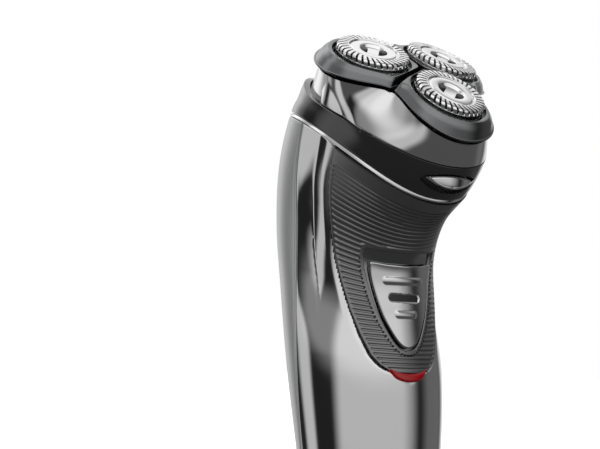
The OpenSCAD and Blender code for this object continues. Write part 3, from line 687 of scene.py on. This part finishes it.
# %% Base cap
BASE_TOP = 4.0           # mm
INLET_RADIUS = 3.1       # of the charging socket's hole
FOOT_ROUND = 0.9         # radius of the foot's lower corner


def foot_ring(angle, inset, height):
    """The foot's outline drawn in by inset, at one height."""
    front, half = station(0.0)[0], station(0.0)[4]
    return np.stack([(half - inset)*squared(np.sin(angle)), (front + inset)*squared(np.cos(angle)),
                     np.full(angle.shape, float(height))], -1)


def hole_ring(angle, radius, height):
    """A true circle, with its points at the same angles as the foot's outline."""
    return np.stack([radius*np.sin(angle), -radius*np.cos(angle), np.full(angle.shape, float(height))], -1)


turn = np.arange(160)*2*math.pi/160
walk = [foot_ring(turn, 0.25, BASE_TOP), foot_ring(turn, 0, BASE_TOP - 0.25)]
walk += [foot_ring(turn, FOOT_ROUND*(1 - math.sin(t)), FOOT_ROUND*(1 - math.cos(t)))
         for t in np.linspace(math.pi/2, 0, 7)]
walk += [foot_ring(turn, 6, 0)]
walk += [hole_ring(turn, INLET_RADIUS + out, height)
         for out, height in ((1.2, 0), (0.3, 0), (0, 0.3), (0, BASE_TOP))]
base_cap = closed_piece("base_cap_skin", np.array(walk), dark_abs)
fit_in(base_cap, "handle", ["base_cap"])
print("base cap points:", len(base_cap.data.vertices))

# %% [markdown]
# ## The rubber grip
# The grip is one moulding of soft rubber let into the front shell. Fine ribs run across
# it and follow the handle's rings, so the rows of its grid are laid out by the ribs: eight
# rows to each, three of them down in the groove. The ribs fade out near the border and
# near the switch's window, and the window is a place where the sheet drops away.

# %% Grip
RIB_PITCH = 1.35         # mm from one rib to the next
RIB_ROWS = [0.0, 0.13, 0.23, 0.33, 0.5, 0.67, 0.77, 0.87]         # places of a rib's rows
RIB_DEPTHS = [1.0, 0.9, 0.25, 0.0, 0.0, 0.0, 0.25, 0.9]           # and how deep each one is
RIB_DEPTH = 0.34         # mm, depth of the grooves
GRIP_PROUD = 0.3         # mm that the rubber stands above the casing's surface
GRIP_DEPTH = 1.1         # mm, depth of its inner face
GRIP_TOP = 6.82          # its last ring
RIBS_TOP = 6.55          # ring where the ribs end
WINDOW_DEPTH = 1.25      # mm that the rubber drops away in the switch's window


def ribbed_rows(low, high):
    """Ring values of the grip's rows, and how deep in a groove each one lies. Equal steps along
    the front of the handle are one rib pitch each."""
    s = np.linspace(low, high, 2000)
    length = np.concatenate([[0], np.cumsum(np.linalg.norm(np.diff(skin(s, 20.0), axis=0), axis=1))])
    ribs = np.arange(int(length[-1]/RIB_PITCH))
    places = ((ribs[:, None] + np.array(RIB_ROWS)[None, :])*RIB_PITCH).ravel()
    depths = np.tile(RIB_DEPTHS, len(ribs))
    rest = np.arange(places[-1] + 0.2, length[-1], 0.3)
    places, depths = np.append(places, rest), np.append(depths, np.zeros(len(rest)))
    return np.interp(places, length, s), depths


def grip_columns():
    """Columns as a share of the half width: close together in the middle, where the window is."""
    middle = np.linspace(-0.68, 0.68, 116)
    side = np.concatenate([np.linspace(0.69, 0.95, 18), [0.965, 0.98, 0.99, 0.996, 1.0]])
    return np.concatenate([-side[::-1], middle, side])


grip_s, groove = ribbed_rows(GRIP_S[0] + 0.015, GRIP_TOP)
grip_u = grip_columns()
half_angle = np.maximum(grip_half(grip_s) - 0.35, 1.0)
b = half_angle[:, None]*grip_u[None, :]
s = np.broadcast_to(grip_s[:, None], b.shape)
from_side = (half_angle[:, None] - np.abs(b))*mm_per_degree(s)
from_end = np.minimum((s - grip_s[0])*GRIP_STEP, (GRIP_TOP - s)*SHELL_STEP)
border = np.minimum(from_side, from_end)
flat = skin(s, b)
near_window = (flat[..., 2] > 66) & (flat[..., 2] < 101) & (np.abs(flat[..., 0]) < 16)
window = np.full(b.shape, -9.0)
window[near_window] = distance_inside(TRACK_EDGE, flat[near_window][:, 0], flat[near_window][:, 2])
ribbed = np.clip((border - 1.0)/0.3, 0, 1)*np.clip((-window - 0.8)/0.4, 0, 1)
ribbed = ribbed*np.clip((RIBS_TOP - s)/0.04, 0, 1)
inset = -GRIP_PROUD + rolled(np.maximum(border, 0), 0.45) + RIB_DEPTH*groove[:, None]*ribbed
dropped = -GRIP_PROUD + WINDOW_DEPTH*np.clip(window/0.25, 0, 1)
inset = np.where(window > 0, np.maximum(inset, dropped), inset)
grip = wall_piece("grip_skin", skin(s, b, inset), skin(s, b, GRIP_DEPTH), soft_touch_rubber)
fit_in(grip, "handle", ["grip_panel"])
print("grip:", len(grip.data.polygons), "faces in", len(grip_s), "rows")

# %% [markdown]
# ## Round the switch's window
# The rubber ends in a rolled lip round the window, and a row of tiny dots follows it. The
# lip is a bead: a small circle carried along the window's outline. The dots are domes of
# three rings each, all in one mesh, because there are dozens of them.

# %% Rolled lip and dots
def bead_rings(path, ahead, out, radius, sides):
    """Rings of a round bead along a path: each is spanned by the outward direction of the
    surface and the direction across the path, and has its own radius."""
    across = np.cross(ahead, out)
    across /= np.linalg.norm(across, axis=1, keepdims=True)
    t = np.arange(sides)*2*math.pi/sides
    ring = np.cos(t)[None, :, None]*out[:, None, :] + np.sin(t)[None, :, None]*across[:, None, :]
    return path[:, None, :] + ring*radius[:, None, None]


def evenly(points, count):
    """The same closed outline as points at equal steps."""
    closed = np.concatenate([points, points[:1]])
    length = np.concatenate([[0], np.cumsum(np.linalg.norm(np.diff(closed, axis=0), axis=1))])
    steps = np.arange(count)*length[-1]/count
    return np.stack([np.interp(steps, length, closed[:, k]) for k in range(2)], -1)


def outward(points, x, z):
    """Outward direction of the casing: from a little below the surface to the surface."""
    out = points - front_point(x, z, 0.5)
    return out/np.linalg.norm(out, axis=-1, keepdims=True)


LIP_RADIUS = 0.32        # mm
lip_outline = evenly(closed_outline(TRACK_EDGE), 240)
lip_path = front_point(lip_outline[:, 0], lip_outline[:, 1], 0.02)
lip_ahead = np.roll(lip_path, -1, axis=0) - np.roll(lip_path, 1, axis=0)
lip_rings = bead_rings(lip_path, lip_ahead, outward(lip_path, *lip_outline.T),
                       np.full(len(lip_path), LIP_RADIUS), 8)
lip = closed_piece("window_lip", lip_rings, soft_touch_rubber)
fit_in(lip, "handle", ["grip_panel"])

DOT_RADIUS = 0.32        # mm
DOT_GAP = 1.15           # mm from the window's edge to the middle of a dot
DOT_SIDES = 8
DOT_POINTS = 3*DOT_SIDES
DOTS_CENTRE = np.array([0, 86.0])        # the dots lie away from here
DOTS_TOP = 96            # there are none above this height


def dot_ring(count):
    """Little domes in a row outside the window: each is three rings of a ball, and its top and
    bottom are closed by flat faces."""
    outline = evenly(closed_outline(TRACK_EDGE), count)
    away = outline - DOTS_CENTRE
    spots = outline + away/np.linalg.norm(away, axis=1, keepdims=True)*DOT_GAP
    spots = spots[spots[:, 1] < DOTS_TOP]
    base = front_point(spots[:, 0], spots[:, 1], -GRIP_PROUD)
    out = outward(base, *spots.T)
    side = np.cross(out, [0.0, 0.0, 1.0])
    side /= np.linalg.norm(side, axis=1, keepdims=True)
    up = np.cross(side, out)
    t = np.arange(DOT_SIDES)*2*math.pi/DOT_SIDES
    circle = np.cos(t)[:, None]*side[:, None] + np.sin(t)[:, None]*up[:, None]
    rows = []
    for rise in (-0.5, 0.0, 0.6):
        r, h = DOT_RADIUS*math.cos(max(rise, 0)), DOT_RADIUS*math.sin(rise)
        rows.append(base[:, None] + out[:, None]*h + r*circle)
    points = np.stack(rows, 1).reshape(-1, 3)
    numbers = list(range(DOT_POINTS))
    one = [list(f) for f in sheet_faces(3, DOT_SIDES, True)]
    one += [numbers[:DOT_SIDES][::-1], numbers[-DOT_SIDES:]]
    faces = [[v + DOT_POINTS*k for v in f] for k in range(len(spots)) for f in one]
    return points, faces


dots = make_object("grip_dots", *dot_ring(84), dark_abs)
fit_in(dots, "handle", ["grip_panel"])
print("dots:", len(dots.data.vertices)//DOT_POINTS)

# %% [markdown]
# ## The power switch
# A silver plate slides in the window. Two raised bars give the thumb its hold, and a dark
# slot between them marks the middle. The plate, its track and its slot are patches of the
# casing's surface, each at its own depth.

# %% Switch plate, slot and track
BAR_RISE = 0.5           # mm that a finger bar stands above the plate
SLOT_HOLLOW = 0.35       # mm that the plate sinks round the slot


def bar(x, z, height, half_length, half_width):
    """Raised bar with round ends: a bump that falls off across it and stops at its ends."""
    over = np.maximum(np.abs(x) - half_length + half_width, 0)
    distance = np.hypot(over, z - height)/half_width
    return BAR_RISE*np.clip(1 - distance**2, 0, 1)


def plate_relief(x, z):
    """Two finger bars and the slot's hollow on the switch plate."""
    slot = np.hypot(np.maximum(np.abs(x) - 4.5, 0), z - 84)/1.35
    hollow = SLOT_HOLLOW*np.clip((1 - slot)/0.2, 0, 1)
    return bar(x, z, 89, 7.7, 1.25) + bar(x, z, 79.2, 4.2, 1.2) - hollow


plate = outline_patch("switch_plate", SLIDER_EDGE, -0.85, 0.1, 0.5, satin_silver, 110, 130, plate_relief)
SLOT_EDGE = [(0, 82.95), (4.4, 82.95), (5.2, 83.3), (5.55, 84), (5.2, 84.7), (4.4, 85.05), (0, 85.05)]
slot_pad = outline_patch("switch_slot", SLOT_EDGE, -0.56, -0.2, 0.12, dark_abs, 40, 12)
track = outline_patch("switch_recess", TRACK_EDGE, 0.7, 1.05, 0.05, smoked_chrome, 60, 40)
for piece in (plate, slot_pad):
    fit_in(piece, "switch", ["power_slider"])
fit_in(track, "handle", ["switch_track"])
print("switch plate faces:", len(plate.data.polygons))

# %% [markdown]
# ## The red lens
# Under the grip a crescent of clear red plastic covers the status lamp. It is one more patch
# of the casing's surface, with an edge so round that its face is a low dome.

# %% Red lens
lens = outline_patch("lens_skin", LENS_EDGE, -0.62, 1.2, 0.9, red_polycarbonate, 70, 22)
fit_in(lens, "handle", ["status_lens"])
print("lens faces:", len(lens.data.polygons))

# %% [markdown]
# ## The release button
# The button that frees the head is a crescent in the collar, chromed, with a bright lip
# along its lower side. The lip is a bead whose thickness runs out to nothing at its ends.

# %% Release button
BUTTON_LEAN = 0.4        # mm that its face drops back for each mm upwards
LEAN_FROM = 116.6        # height where that begins
BUTTON_LIP_RISE = 0.3    # mm from the outline up to the middle of the lip
BUTTON_LIP_PROUD = 0.7


def button_relief(x, z):
    """The button leans: its face drops back towards its upper edge."""
    return -BUTTON_LEAN*np.maximum(z - LEAN_FROM, 0)


button = outline_patch("button_skin", BUTTON_EDGE, -0.9, 0.4, 0.6, bright_chrome, 90, 34, button_relief)
lower_side = smooth(BUTTON_EDGE[:4], 10)
lip_line = np.concatenate([(lower_side*[-1, 1])[::-1], lower_side[1:]])
lip_x, lip_z = lip_line[:, 0], lip_line[:, 1] + BUTTON_LIP_RISE
lip_base = front_point(lip_x, lip_z, -BUTTON_LIP_PROUD)
thickness = 0.42*(1 - (np.abs(lip_x)/9.4)**2) + 0.04
lip_rings = bead_rings(lip_base, np.gradient(lip_base, axis=0), outward(lip_base, lip_x, lip_z),
                       thickness, 12)
button_lip = capped_piece("button_lip", lip_rings, bright_chrome)
for piece in (button, button_lip):
    fit_in(piece, "button", ["release_button"])
print("button faces:", len(button.data.polygons))

# %% [markdown]
# ## The head's housing
# The housing joins an oval collar to a head with three lobes. Straight lines from one edge
# to the other would do, but the real one swells a little between the lobes, and a soft
# crease runs up each flank. Beside the hinge it is drawn in. All three are small changes of
# depth on the same ruled surface.

# %% Head housing
HEAD = np.array([0, -15.0, 152.0])       # middle of the head, level with the petals' top, mm
HEAD_TILT = math.radians(30)
HEAD_RIGHT = np.array([1.0, 0, 0])
HEAD_BACK = np.array([0, math.cos(HEAD_TILT), math.sin(HEAD_TILT)])
HEAD_UP = np.array([0, -math.sin(HEAD_TILT), math.cos(HEAD_TILT)])


def lobe(a):
    """Radius of the head's three-lobed outline at angle a from the middle of a lobe."""
    return 25.93 + 6.1*np.cos(np.radians(3*a)) - 1.03*np.cos(np.radians(6*a))


def petal_bottom(a):
    """Depth of the petals' lower edge: deepest at the middle of a lobe."""
    return 6.3 + 2.2*np.cos(np.radians(3*a))


def in_head(x, y, z):
    """Point of the head's own frame: right, back and up along the head's axis."""
    x, y, z = (np.asarray(v, float)[..., None] for v in (x, y, z))
    return HEAD + x*HEAD_RIGHT + y*HEAD_BACK + z*HEAD_UP


def housing(t, b, inset):
    """Ruled surface from the collar (t = 0) to the petals' edge (t = 1)."""
    low = skin(COLLAR_TO + 0.02, b, inset)
    r = lobe(b) - 1.2 - 0.55*inset
    a = np.radians(b - 90)
    high = in_head(r*np.cos(a), r*np.sin(a), -(petal_bottom(b) + 1.15))
    return low + (high - low)*t[..., None]


def housing_relief(t, b):
    """Swelling between the lobes, less a crease whose back side falls away, and less the waist
    beside the hinge."""
    swell = 1.0*np.sin(math.pi*t)*0.5*(1 - np.cos(np.radians(3*b)))
    behind = (from_front(b) - 70 - 23*t)*0.42
    waist = (5.4 - 2.2*t)*ramp((from_front(b) - 94)/28)*ramp((163 - from_front(b))/16)
    return swell - 0.2*np.clip(behind, 0, 5)*np.clip(1 - (behind - 5)/7, 0, 1) - waist


HOUSING_WALL = 1.6       # mm
t = span(0, 1, 40, 0.04)[:, None]
b = (np.arange(300)*1.2)[None, :]
t, b = np.broadcast_arrays(t, b)
fall = rolled(t*10, 0.35)
outer = housing(t, b, fall - housing_relief(t, b))
inner = housing(t, b, np.full(t.shape, HOUSING_WALL))
housing_skin = wall_piece("housing_skin", outer, inner, polished_gunmetal, loop=True)
fit_in(housing_skin, "head", ["head_housing"])


def hinge_arm(name, low, high, reach, material):
    """Barrel and arm in one: a section of the barrel's circle and the arm's root, carried along X."""
    start = -0.15 if reach < 0 else 0.85
    t = np.linspace(start*math.pi, (start + 1.3)*math.pi, 20)
    rim = np.stack([HINGE[0] + KNUCKLE_R*np.cos(t), HINGE[1] + KNUCKLE_R*np.sin(t)], -1)
    root = [[HINGE[0] - 1.6, HINGE[1] + reach], [HINGE[0] + 1.0, HINGE[1] + reach]]
    section = np.concatenate([rim, root if reach < 0 else root[::-1]])
    middle = section.mean(0)
    rows = []
    for x, size in ((low, 0.9), (low + 0.2, 1.0), (high - 0.2, 1.0), (high, 0.9)):
        flat = middle + (section - middle)*size
        rows.append(np.concatenate([np.full((len(flat), 1), x), flat], 1))
    return capped_piece(name, np.array(rows), material)


for name, low, high in (("hinge_arm_left", -6.95, -3.55), ("hinge_arm_right", 3.55, 6.95)):
    arm = hinge_arm(name, low, high, -4.6, piano_black_abs)
    fit_in(arm, "handle", ["collar_band"])
barrel = hinge_arm("hinge_barrel", -3.15, 3.15, 3.4, polished_gunmetal)
fit_in(barrel, "head", ["head_housing"])
print("housing faces:", len(housing_skin.data.polygons))

# %% [markdown]
# ## The petals
# Three petals float on the head, one round each comb, parted by a black gap. Seen from
# its comb's centre, a petal's outline is a distance for each direction, so its mesh is a
# ring of columns: up the bore, over the lip, across the flat top, down the sloping wall
# and back underneath.

# %% Petals
HEADS = {"front": -90.0, "right": 30.0, "left": 150.0}
COMB_CIRCLE = 15.3       # mm from the middle of the head to each comb's centre
COMB_TILT = math.radians(6.3)            # each comb leans outwards
PETAL_GAP = 0.45         # mm, half of the gap between two petals
LIP = 12.25              # mm, radius of the recess's lip round a comb
# radius and height of the bore's rows, in the comb's frame
BORE = [(11.35, -6), (11.35, -1.8), (11.5, -1.6), (12.0, -1.6), (12.05, -1.5), (12.05, -0.22),
        (12.12, -0.06), (LIP, 0)]
# distance in from the petal's edge, and share of the way down, of the rows of its top...
CREST = [(2.72, 0), (2.6, 0.003), (2.5, 0.02), (2.42, 0.045)]
# ...and of its sloping wall, its lower bead and its underside
FLANK = [(2.2, 0.1), (1.9, 0.17), (1.6, 0.24), (1.35, 0.31), (1.18, 0.38), (0.95, 0.5), (0.72, 0.63),
         (0.5, 0.76), (0.36, 0.84), (0.1, 0.86), (0.02, 0.88), (0, 0.93), (0.02, 0.955), (0.3, 1.0),
         (1.2, 1.0), (1.9, 0.97)]


def petal_outline(directions):
    """Distance from the comb's centre to the petal's edge in each direction, with how far the
    wall slopes there and how deep the edge lies."""
    a = np.linspace(-57.5, 57.5, 140)
    arc = np.stack([lobe(a)*np.cos(np.radians(a)), lobe(a)*np.sin(np.radians(a))], -1)
    reach = np.linspace(18.6, 1.2, 60)
    side = np.stack([reach*0.5 + PETAL_GAP*0.866, reach*0.866 - PETAL_GAP*0.5], -1)
    points = np.concatenate([arc, side, side[::-1]*[1, -1]])
    side_slope = np.interp(reach, [7, 12, 18.6], [0.1, 0.15, 0.45])
    side_depth = 5 - reach/20
    slope = np.concatenate([np.ones(len(a)), side_slope, side_slope[::-1]])
    depth = np.concatenate([petal_bottom(a), side_depth, side_depth[::-1]])
    offset = points - [COMB_CIRCLE, 0]
    angle = np.degrees(np.arctan2(offset[:, 1], offset[:, 0])) % 360
    order = np.argsort(angle)
    columns = [np.linalg.norm(offset, axis=1), slope, depth]
    values = [np.interp(directions, angle[order], v[order], period=360) for v in columns]
    kernel = np.array([1, 2, 3, 2, 1])/9
    wide = [np.concatenate([v[-2:], v, v[:2]]) for v in values]
    return [np.convolve(v, kernel, "valid") for v in wide]


def head_frame(name):
    """Outward, sideways and upward directions of one lobe of the head."""
    a = math.radians(HEADS[name])
    out = HEAD_RIGHT*math.cos(a) + HEAD_BACK*math.sin(a)
    return out, HEAD_BACK*math.cos(a) - HEAD_RIGHT*math.sin(a), HEAD_UP


def comb_frame(name):
    """Matrix of one comb: its Z axis leans outwards, and its origin is at the petal's top."""
    out, side, up = head_frame(name)
    m = np.eye(4)
    m[:3, :3] = np.column_stack([out*math.cos(COMB_TILT) - up*math.sin(COMB_TILT), side,
                                 out*math.sin(COMB_TILT) + up*math.cos(COMB_TILT)])
    m[:3, 3] = HEAD + m[:3, 0]*COMB_CIRCLE
    return m


def petal_mesh(name):
    """One petal: a ring of columns, one for each direction from its comb's centre."""
    directions = np.arange(0, 360, 1.5)
    radius, slope, depth = petal_outline(directions)
    ring = np.stack([np.cos(np.radians(directions)), np.sin(np.radians(directions))], -1)
    out, side, up = head_frame(name)
    m = comb_frame(name)

    def circle(r, z):
        """Row of the bore: a circle of one radius at one height, in the comb's frame."""
        return m[:3, 3] + r*ring[:, :1]*m[:3, 0] + r*ring[:, 1:]*m[:3, 1] + z*m[:3, 2]

    def edge(inset, share, least=0.0):
        """Row of the outside: the outline drawn in by inset where the wall slopes, at a share
        of the way from the leaning top down to the petal's lower edge."""
        r = np.maximum(radius - inset*slope - 0.15*min(inset, 1), least)
        x, y = COMB_CIRCLE + r*ring[:, 0], r*ring[:, 1]
        z = -x*math.tan(COMB_TILT)*(1 - share) - depth*share
        return HEAD + x[:, None]*out + y[:, None]*side + z[:, None]*up

    rows = [circle(r, z) for r, z in BORE]
    rows += [edge(inset, share, LIP + 0.1) for inset, share in CREST]
    rows += [edge(inset, share) for inset, share in FLANK]
    return closed_piece("petal_" + name + "_skin", np.array(rows), gunmetal_paint)


for name in HEADS:
    fit_in(petal_mesh(name), "petal_" + name, ["petal_" + name])
print("petals:", len(HEADS))

# %% [markdown]
# ## The combs
# A comb is a cap of thin polished steel. Slots are cut across its outer ring and down over
# its rim, a little aslant, and whiskers fall through them. It is built from what the
# slots leave: a ring of bars, a turned centre and a plain skirt.

# %% Combs
COMB_RISE = 2.2          # mm that its top stands above the petal
COMB_SLOTS = 36
BAR_SHARE = 0.6          # of each pitch is metal
HOLE_TURN = {"front": 40.0, "right": -77.0, "left": -177.0}      # degrees
# radius and height of a bar's upper face and of its underside
BAR_TOP = np.array([(7.65, 0), (8.6, 0.02), (9.5, 0), (10.1, -0.04), (10.5, -0.16), (10.8, -0.4),
                    (10.95, -0.75), (10.98, -1.2), (10.98, -1.75)])
BAR_UNDER = np.array([(7.65, -0.4), (8.6, -0.4), (9.5, -0.4), (9.95, -0.44), (10.2, -0.55),
                      (10.4, -0.75), (10.5, -1.0), (10.52, -1.3), (10.52, -1.75)])


def bar_lean(path):
    """Turn of a bar in radians along its path: more with its radius, and more down the rim."""
    return 0.035*(path[:, 0] - 9.5) - 0.03*path[:, 1]


def comb_bars(name):
    """Bars over the rim: a path of radius and height and its underside, both turned to the two
    edges of each bar. Every point turns a little more with its radius, so the bars lean."""
    half = BAR_SHARE*math.pi/COMB_SLOTS
    turn = np.arange(COMB_SLOTS)*2*math.pi/COMB_SLOTS
    rows = []
    for path, side in ((BAR_TOP, -1), (BAR_TOP, 1), (BAR_UNDER, 1), (BAR_UNDER, -1)):
        angle = turn[:, None] + bar_lean(path)[None, :] + side*half
        rows.append(np.stack([path[:, 0]*np.cos(angle), path[:, 0]*np.sin(angle),
                              np.broadcast_to(COMB_RISE + path[:, 1], angle.shape)], -1))
    points = np.stack(rows, 2)
    m = comb_frame(name)
    points = points.reshape(-1, 3) @ m[:3, :3].T + m[:3, 3]
    count = len(BAR_TOP)
    one = [list(f) for f in sheet_faces(count, 4, True)]
    one += [[3, 2, 1, 0], [4*count - 4 + k for k in range(4)]]
    faces = [[v + 4*count*k for v in f] for k in range(COMB_SLOTS) for f in one]
    return make_object("comb_" + name + "_bars", points, faces, polished_steel)


# radius and height of the turned centre and of the skirt, below the comb's top
CENTRE = [(0, -0.95), (3.3, -0.95), (3.6, -0.88), (3.85, -0.6), (4.05, -0.28), (4.35, -0.12),
          (4.8, -0.06), (6.3, -0.06), (6.75, -0.12), (6.95, -0.3), (6.98, -0.6), (7.3, -0.6),
          (7.36, -0.25), (7.55, -0.03), (7.8, 0), (7.8, -0.5), (6.6, -1.0), (0, -1.6)]
SKIRT = [(10.5, -1.7), (10.9, -1.7), (10.98, -1.8), (10.98, -3.6), (10.5, -3.6)]


def painted_hole_shade(name, turn, index):
    """Painted shade for a key hole in the comb's centre: a rounded block of dark ABS let into the dish's
    wall, dark to stand for the shade inside a hole that is not modelled.
    """
    m = comb_frame(name)
    a = math.radians(HOLE_TURN[name] + turn)
    spot = m.copy()
    spot[:3, 3] += m[:3, :3] @ np.array([3.0*math.cos(a), 3.0*math.sin(a), COMB_RISE - 1.0])
    profile = [(0, 0.82), (1.15, 0.8), (1.3, 0.66), (1.3, 0), (0, 0)]
    return lathe("comb_" + name + "_painted_hole_shade_" + str(index), profile, spot, dark_abs, 16)


def turned(name, part, profile):
    """Turned part of a comb: its profile, raised to the comb's height, carried round."""
    raised = [(r, z + COMB_RISE) for r, z in profile]
    return lathe("comb_" + name + "_" + part, raised, comb_frame(name), polished_steel, 96)


for name in HEADS:
    # the two dark blocks in each comb's centre are painted shade for its key holes
    made = [comb_bars(name), turned(name, "centre", CENTRE), turned(name, "skirt", SKIRT),
            painted_hole_shade(name, 0, 1), painted_hole_shade(name, 180, 2)]
    for piece in made:
        fit_in(piece, "comb_" + name, ["comb_" + name])
print("comb slots:", COMB_SLOTS)

# %% [markdown]
# ## Finishes for the parts inside
# The frame's own parts that show when the head is flipped open, or between the pieces,
# keep their shape and get a finish of their own in place of a plain colour.

# %% Finishes on the frame's parts
FINISHES = {
    soft_touch_rubber: ["latch_hook"],       # dark and dull, as the grip is
    frame_abs: ["head_frame", "latch_catch", "retaining_plate", "gear_plate", "inner_frame", "lock_wheel"],
    dark_abs: ["drive_deck", "switch_block", "charge_socket"],
    turned_steel: ["hinge_pin", "petal_pins", "deck_screws", "gear_axles"],
    spring_wire: ["button_springs"] + ["spindle_spring_" + name for name in HEADS],
    acetal: ["spindle_" + name for name in HEADS] + ["drive_gear_" + name for name in HEADS],
    ground_steel: ["cutter_" + name for name in HEADS],
    drawn_steel: ["motor_can"],
    machined_brass: ["motor_pinion"],
    nickel_strip: ["cell_tabs"],
    shrink_sleeve: ["cell_left", "cell_right"],
    solder_mask: ["circuit_board"],
    clear_epoxy: ["status_led"],
}
for material, nodes in FINISHES.items():
    for node in nodes:
        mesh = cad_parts[node].data
        mesh.materials.clear()
        mesh.materials.append(material)
print("frame parts finished:", sum(len(nodes) for nodes in FINISHES.values()))

# %% [markdown]
# ## The studio
# Polished things show their surroundings, so the light is a dim grey room with a few large
# soft boxes in it: a bank in front, a strip behind on the left, a bank behind on the right,
# and fill above. Each is a soft-edged patch of the sky dome, given by where it stands and how
# far it reaches. The camera itself sees plain white.

# %% Studio
# each box: degrees round from the front towards +X, half width, soft edge, lowest height (the
# sine of its angle above the level) and brightness
SOFT_BOXES = [(-16, 46, 24, -0.30, 0.66),      # front bank
              (-16, 46, 30, 0.10, 0.28),       # its upper row
              (-135, 6, 10, -0.90, 0.68),      # strip, left rear
              (-135, 45, 30, 0.05, 0.30),      # fill above it
              (148, 26, 20, -0.30, 0.80),      # bank, right rear
              (180, 12, 8, -1.00, 0.35),       # fill behind
              (84, 12, 20, -0.40, 0.15),       # dim fill, right
              (0, 180, 1, 0.40, 0.22)]         # ceiling, all round
SPREAD = 0.25            # rise over which a box comes up to its full brightness
ROOM = 0.02              # brightness of the room itself
FLOOR_GLOW = 0.08        # light that comes up from the table
TABLE_SIDE = 3.0         # metres from the middle of the table to its edge
TABLE_GLOW = 0.62


def math_node(tree, operation, *values):
    """One sum: each value is an output of another node or a plain number."""
    node = add_node(tree, "ShaderNodeMath", {"operation": operation})
    for socket, value in zip(node.inputs, values):
        if isinstance(value, (int, float)):
            socket.default_value = value
        else:
            tree.links.new(value, socket)
    return node.outputs[0]


def soft_step(tree, value, start, end):
    """Smooth rise from 0 at start to 1 at end, or a fall when end is the smaller."""
    low, high = min(start, end), max(start, end)
    settings = {"interpolation_type": "SMOOTHSTEP", "From Min": low, "From Max": high,
                "To Min": float(start > end), "To Max": float(start < end)}
    return add_node(tree, "ShaderNodeMapRange", settings, {"Value": value}).outputs["Result"]


def world_light():
    """White for the camera, and the room with its soft boxes for everything else."""
    world = bpy.data.worlds.new("studio")
    world.use_nodes = True
    bpy.context.scene.world = world
    tree = world.node_tree
    tree.nodes.clear()
    direction = add_node(tree, "ShaderNodeTexCoord").outputs["Generated"]
    x, y, z = add_node(tree, "ShaderNodeSeparateXYZ", {}, {"Vector": direction}).outputs
    turn = math_node(tree, "ARCTAN2", x, math_node(tree, "MULTIPLY", y, -1.0))
    turn = math_node(tree, "MULTIPLY", turn, 180/math.pi)
    total = math_node(tree, "MULTIPLY", soft_step(tree, z, -0.15, -0.3), FLOOR_GLOW)
    total = math_node(tree, "ADD", total, ROOM)
    for centre, half, edge, lowest, brightness in SOFT_BOXES:
        away = math_node(tree, "WRAP", math_node(tree, "SUBTRACT", turn, centre), 180.0, -180.0)
        across = soft_step(tree, math_node(tree, "ABSOLUTE", away), half + edge, half)
        box = math_node(tree, "MULTIPLY", across, soft_step(tree, z, lowest, lowest + SPREAD))
        total = math_node(tree, "ADD", total, math_node(tree, "MULTIPLY", box, brightness))
    path = add_node(tree, "ShaderNodeLightPath")
    room = add_node(tree, "ShaderNodeBackground", {"Strength": 1.0}, {"Color": total})
    white = add_node(tree, "ShaderNodeBackground", {"Color": (1, 1, 1, 1), "Strength": 1.0})
    mix = add_node(tree, "ShaderNodeMixShader", {}, {0: path.outputs["Is Camera Ray"], 1: room.outputs[0],
                   2: white.outputs[0]})
    add_node(tree, "ShaderNodeOutputWorld", {}, {"Surface": mix.outputs[0]})


world_light()
bpy.context.scene.view_settings.view_transform = "Standard"      # plain white stays white


def make_floor():
    """Large white table top, lit from within so that it stays as pale as the surround."""
    mesh = bpy.data.meshes.new("floor")
    corners = [(x*TABLE_SIDE, y*TABLE_SIDE, 0) for x, y in ((-1, -1), (1, -1), (1, 1), (-1, 1))]
    mesh.from_pydata(corners, [], [(0, 1, 2, 3)])
    table = finish("white_acrylic", "#f4f4f4", 0.0, 0.5, 5.0, 0.01)
    shader = table.node_tree.nodes["Principled BSDF"]
    shader.inputs["Emission Color"].default_value = (1, 1, 1, 1)
    shader.inputs["Emission Strength"].default_value = TABLE_GLOW
    mesh.materials.append(table)
    floor = bpy.data.objects.new("floor", mesh)
    floor.visible_glossy = False
    floor.visible_diffuse = False
    bpy.context.collection.objects.link(floor)


make_floor()
print("studio:", len(SOFT_BOXES), "soft boxes")

# %% [markdown]
# ## The last update
# The finish must not change the object's size, and the last step brings every object's place up to date.

# %% Update the scene
bpy.context.view_layer.update()
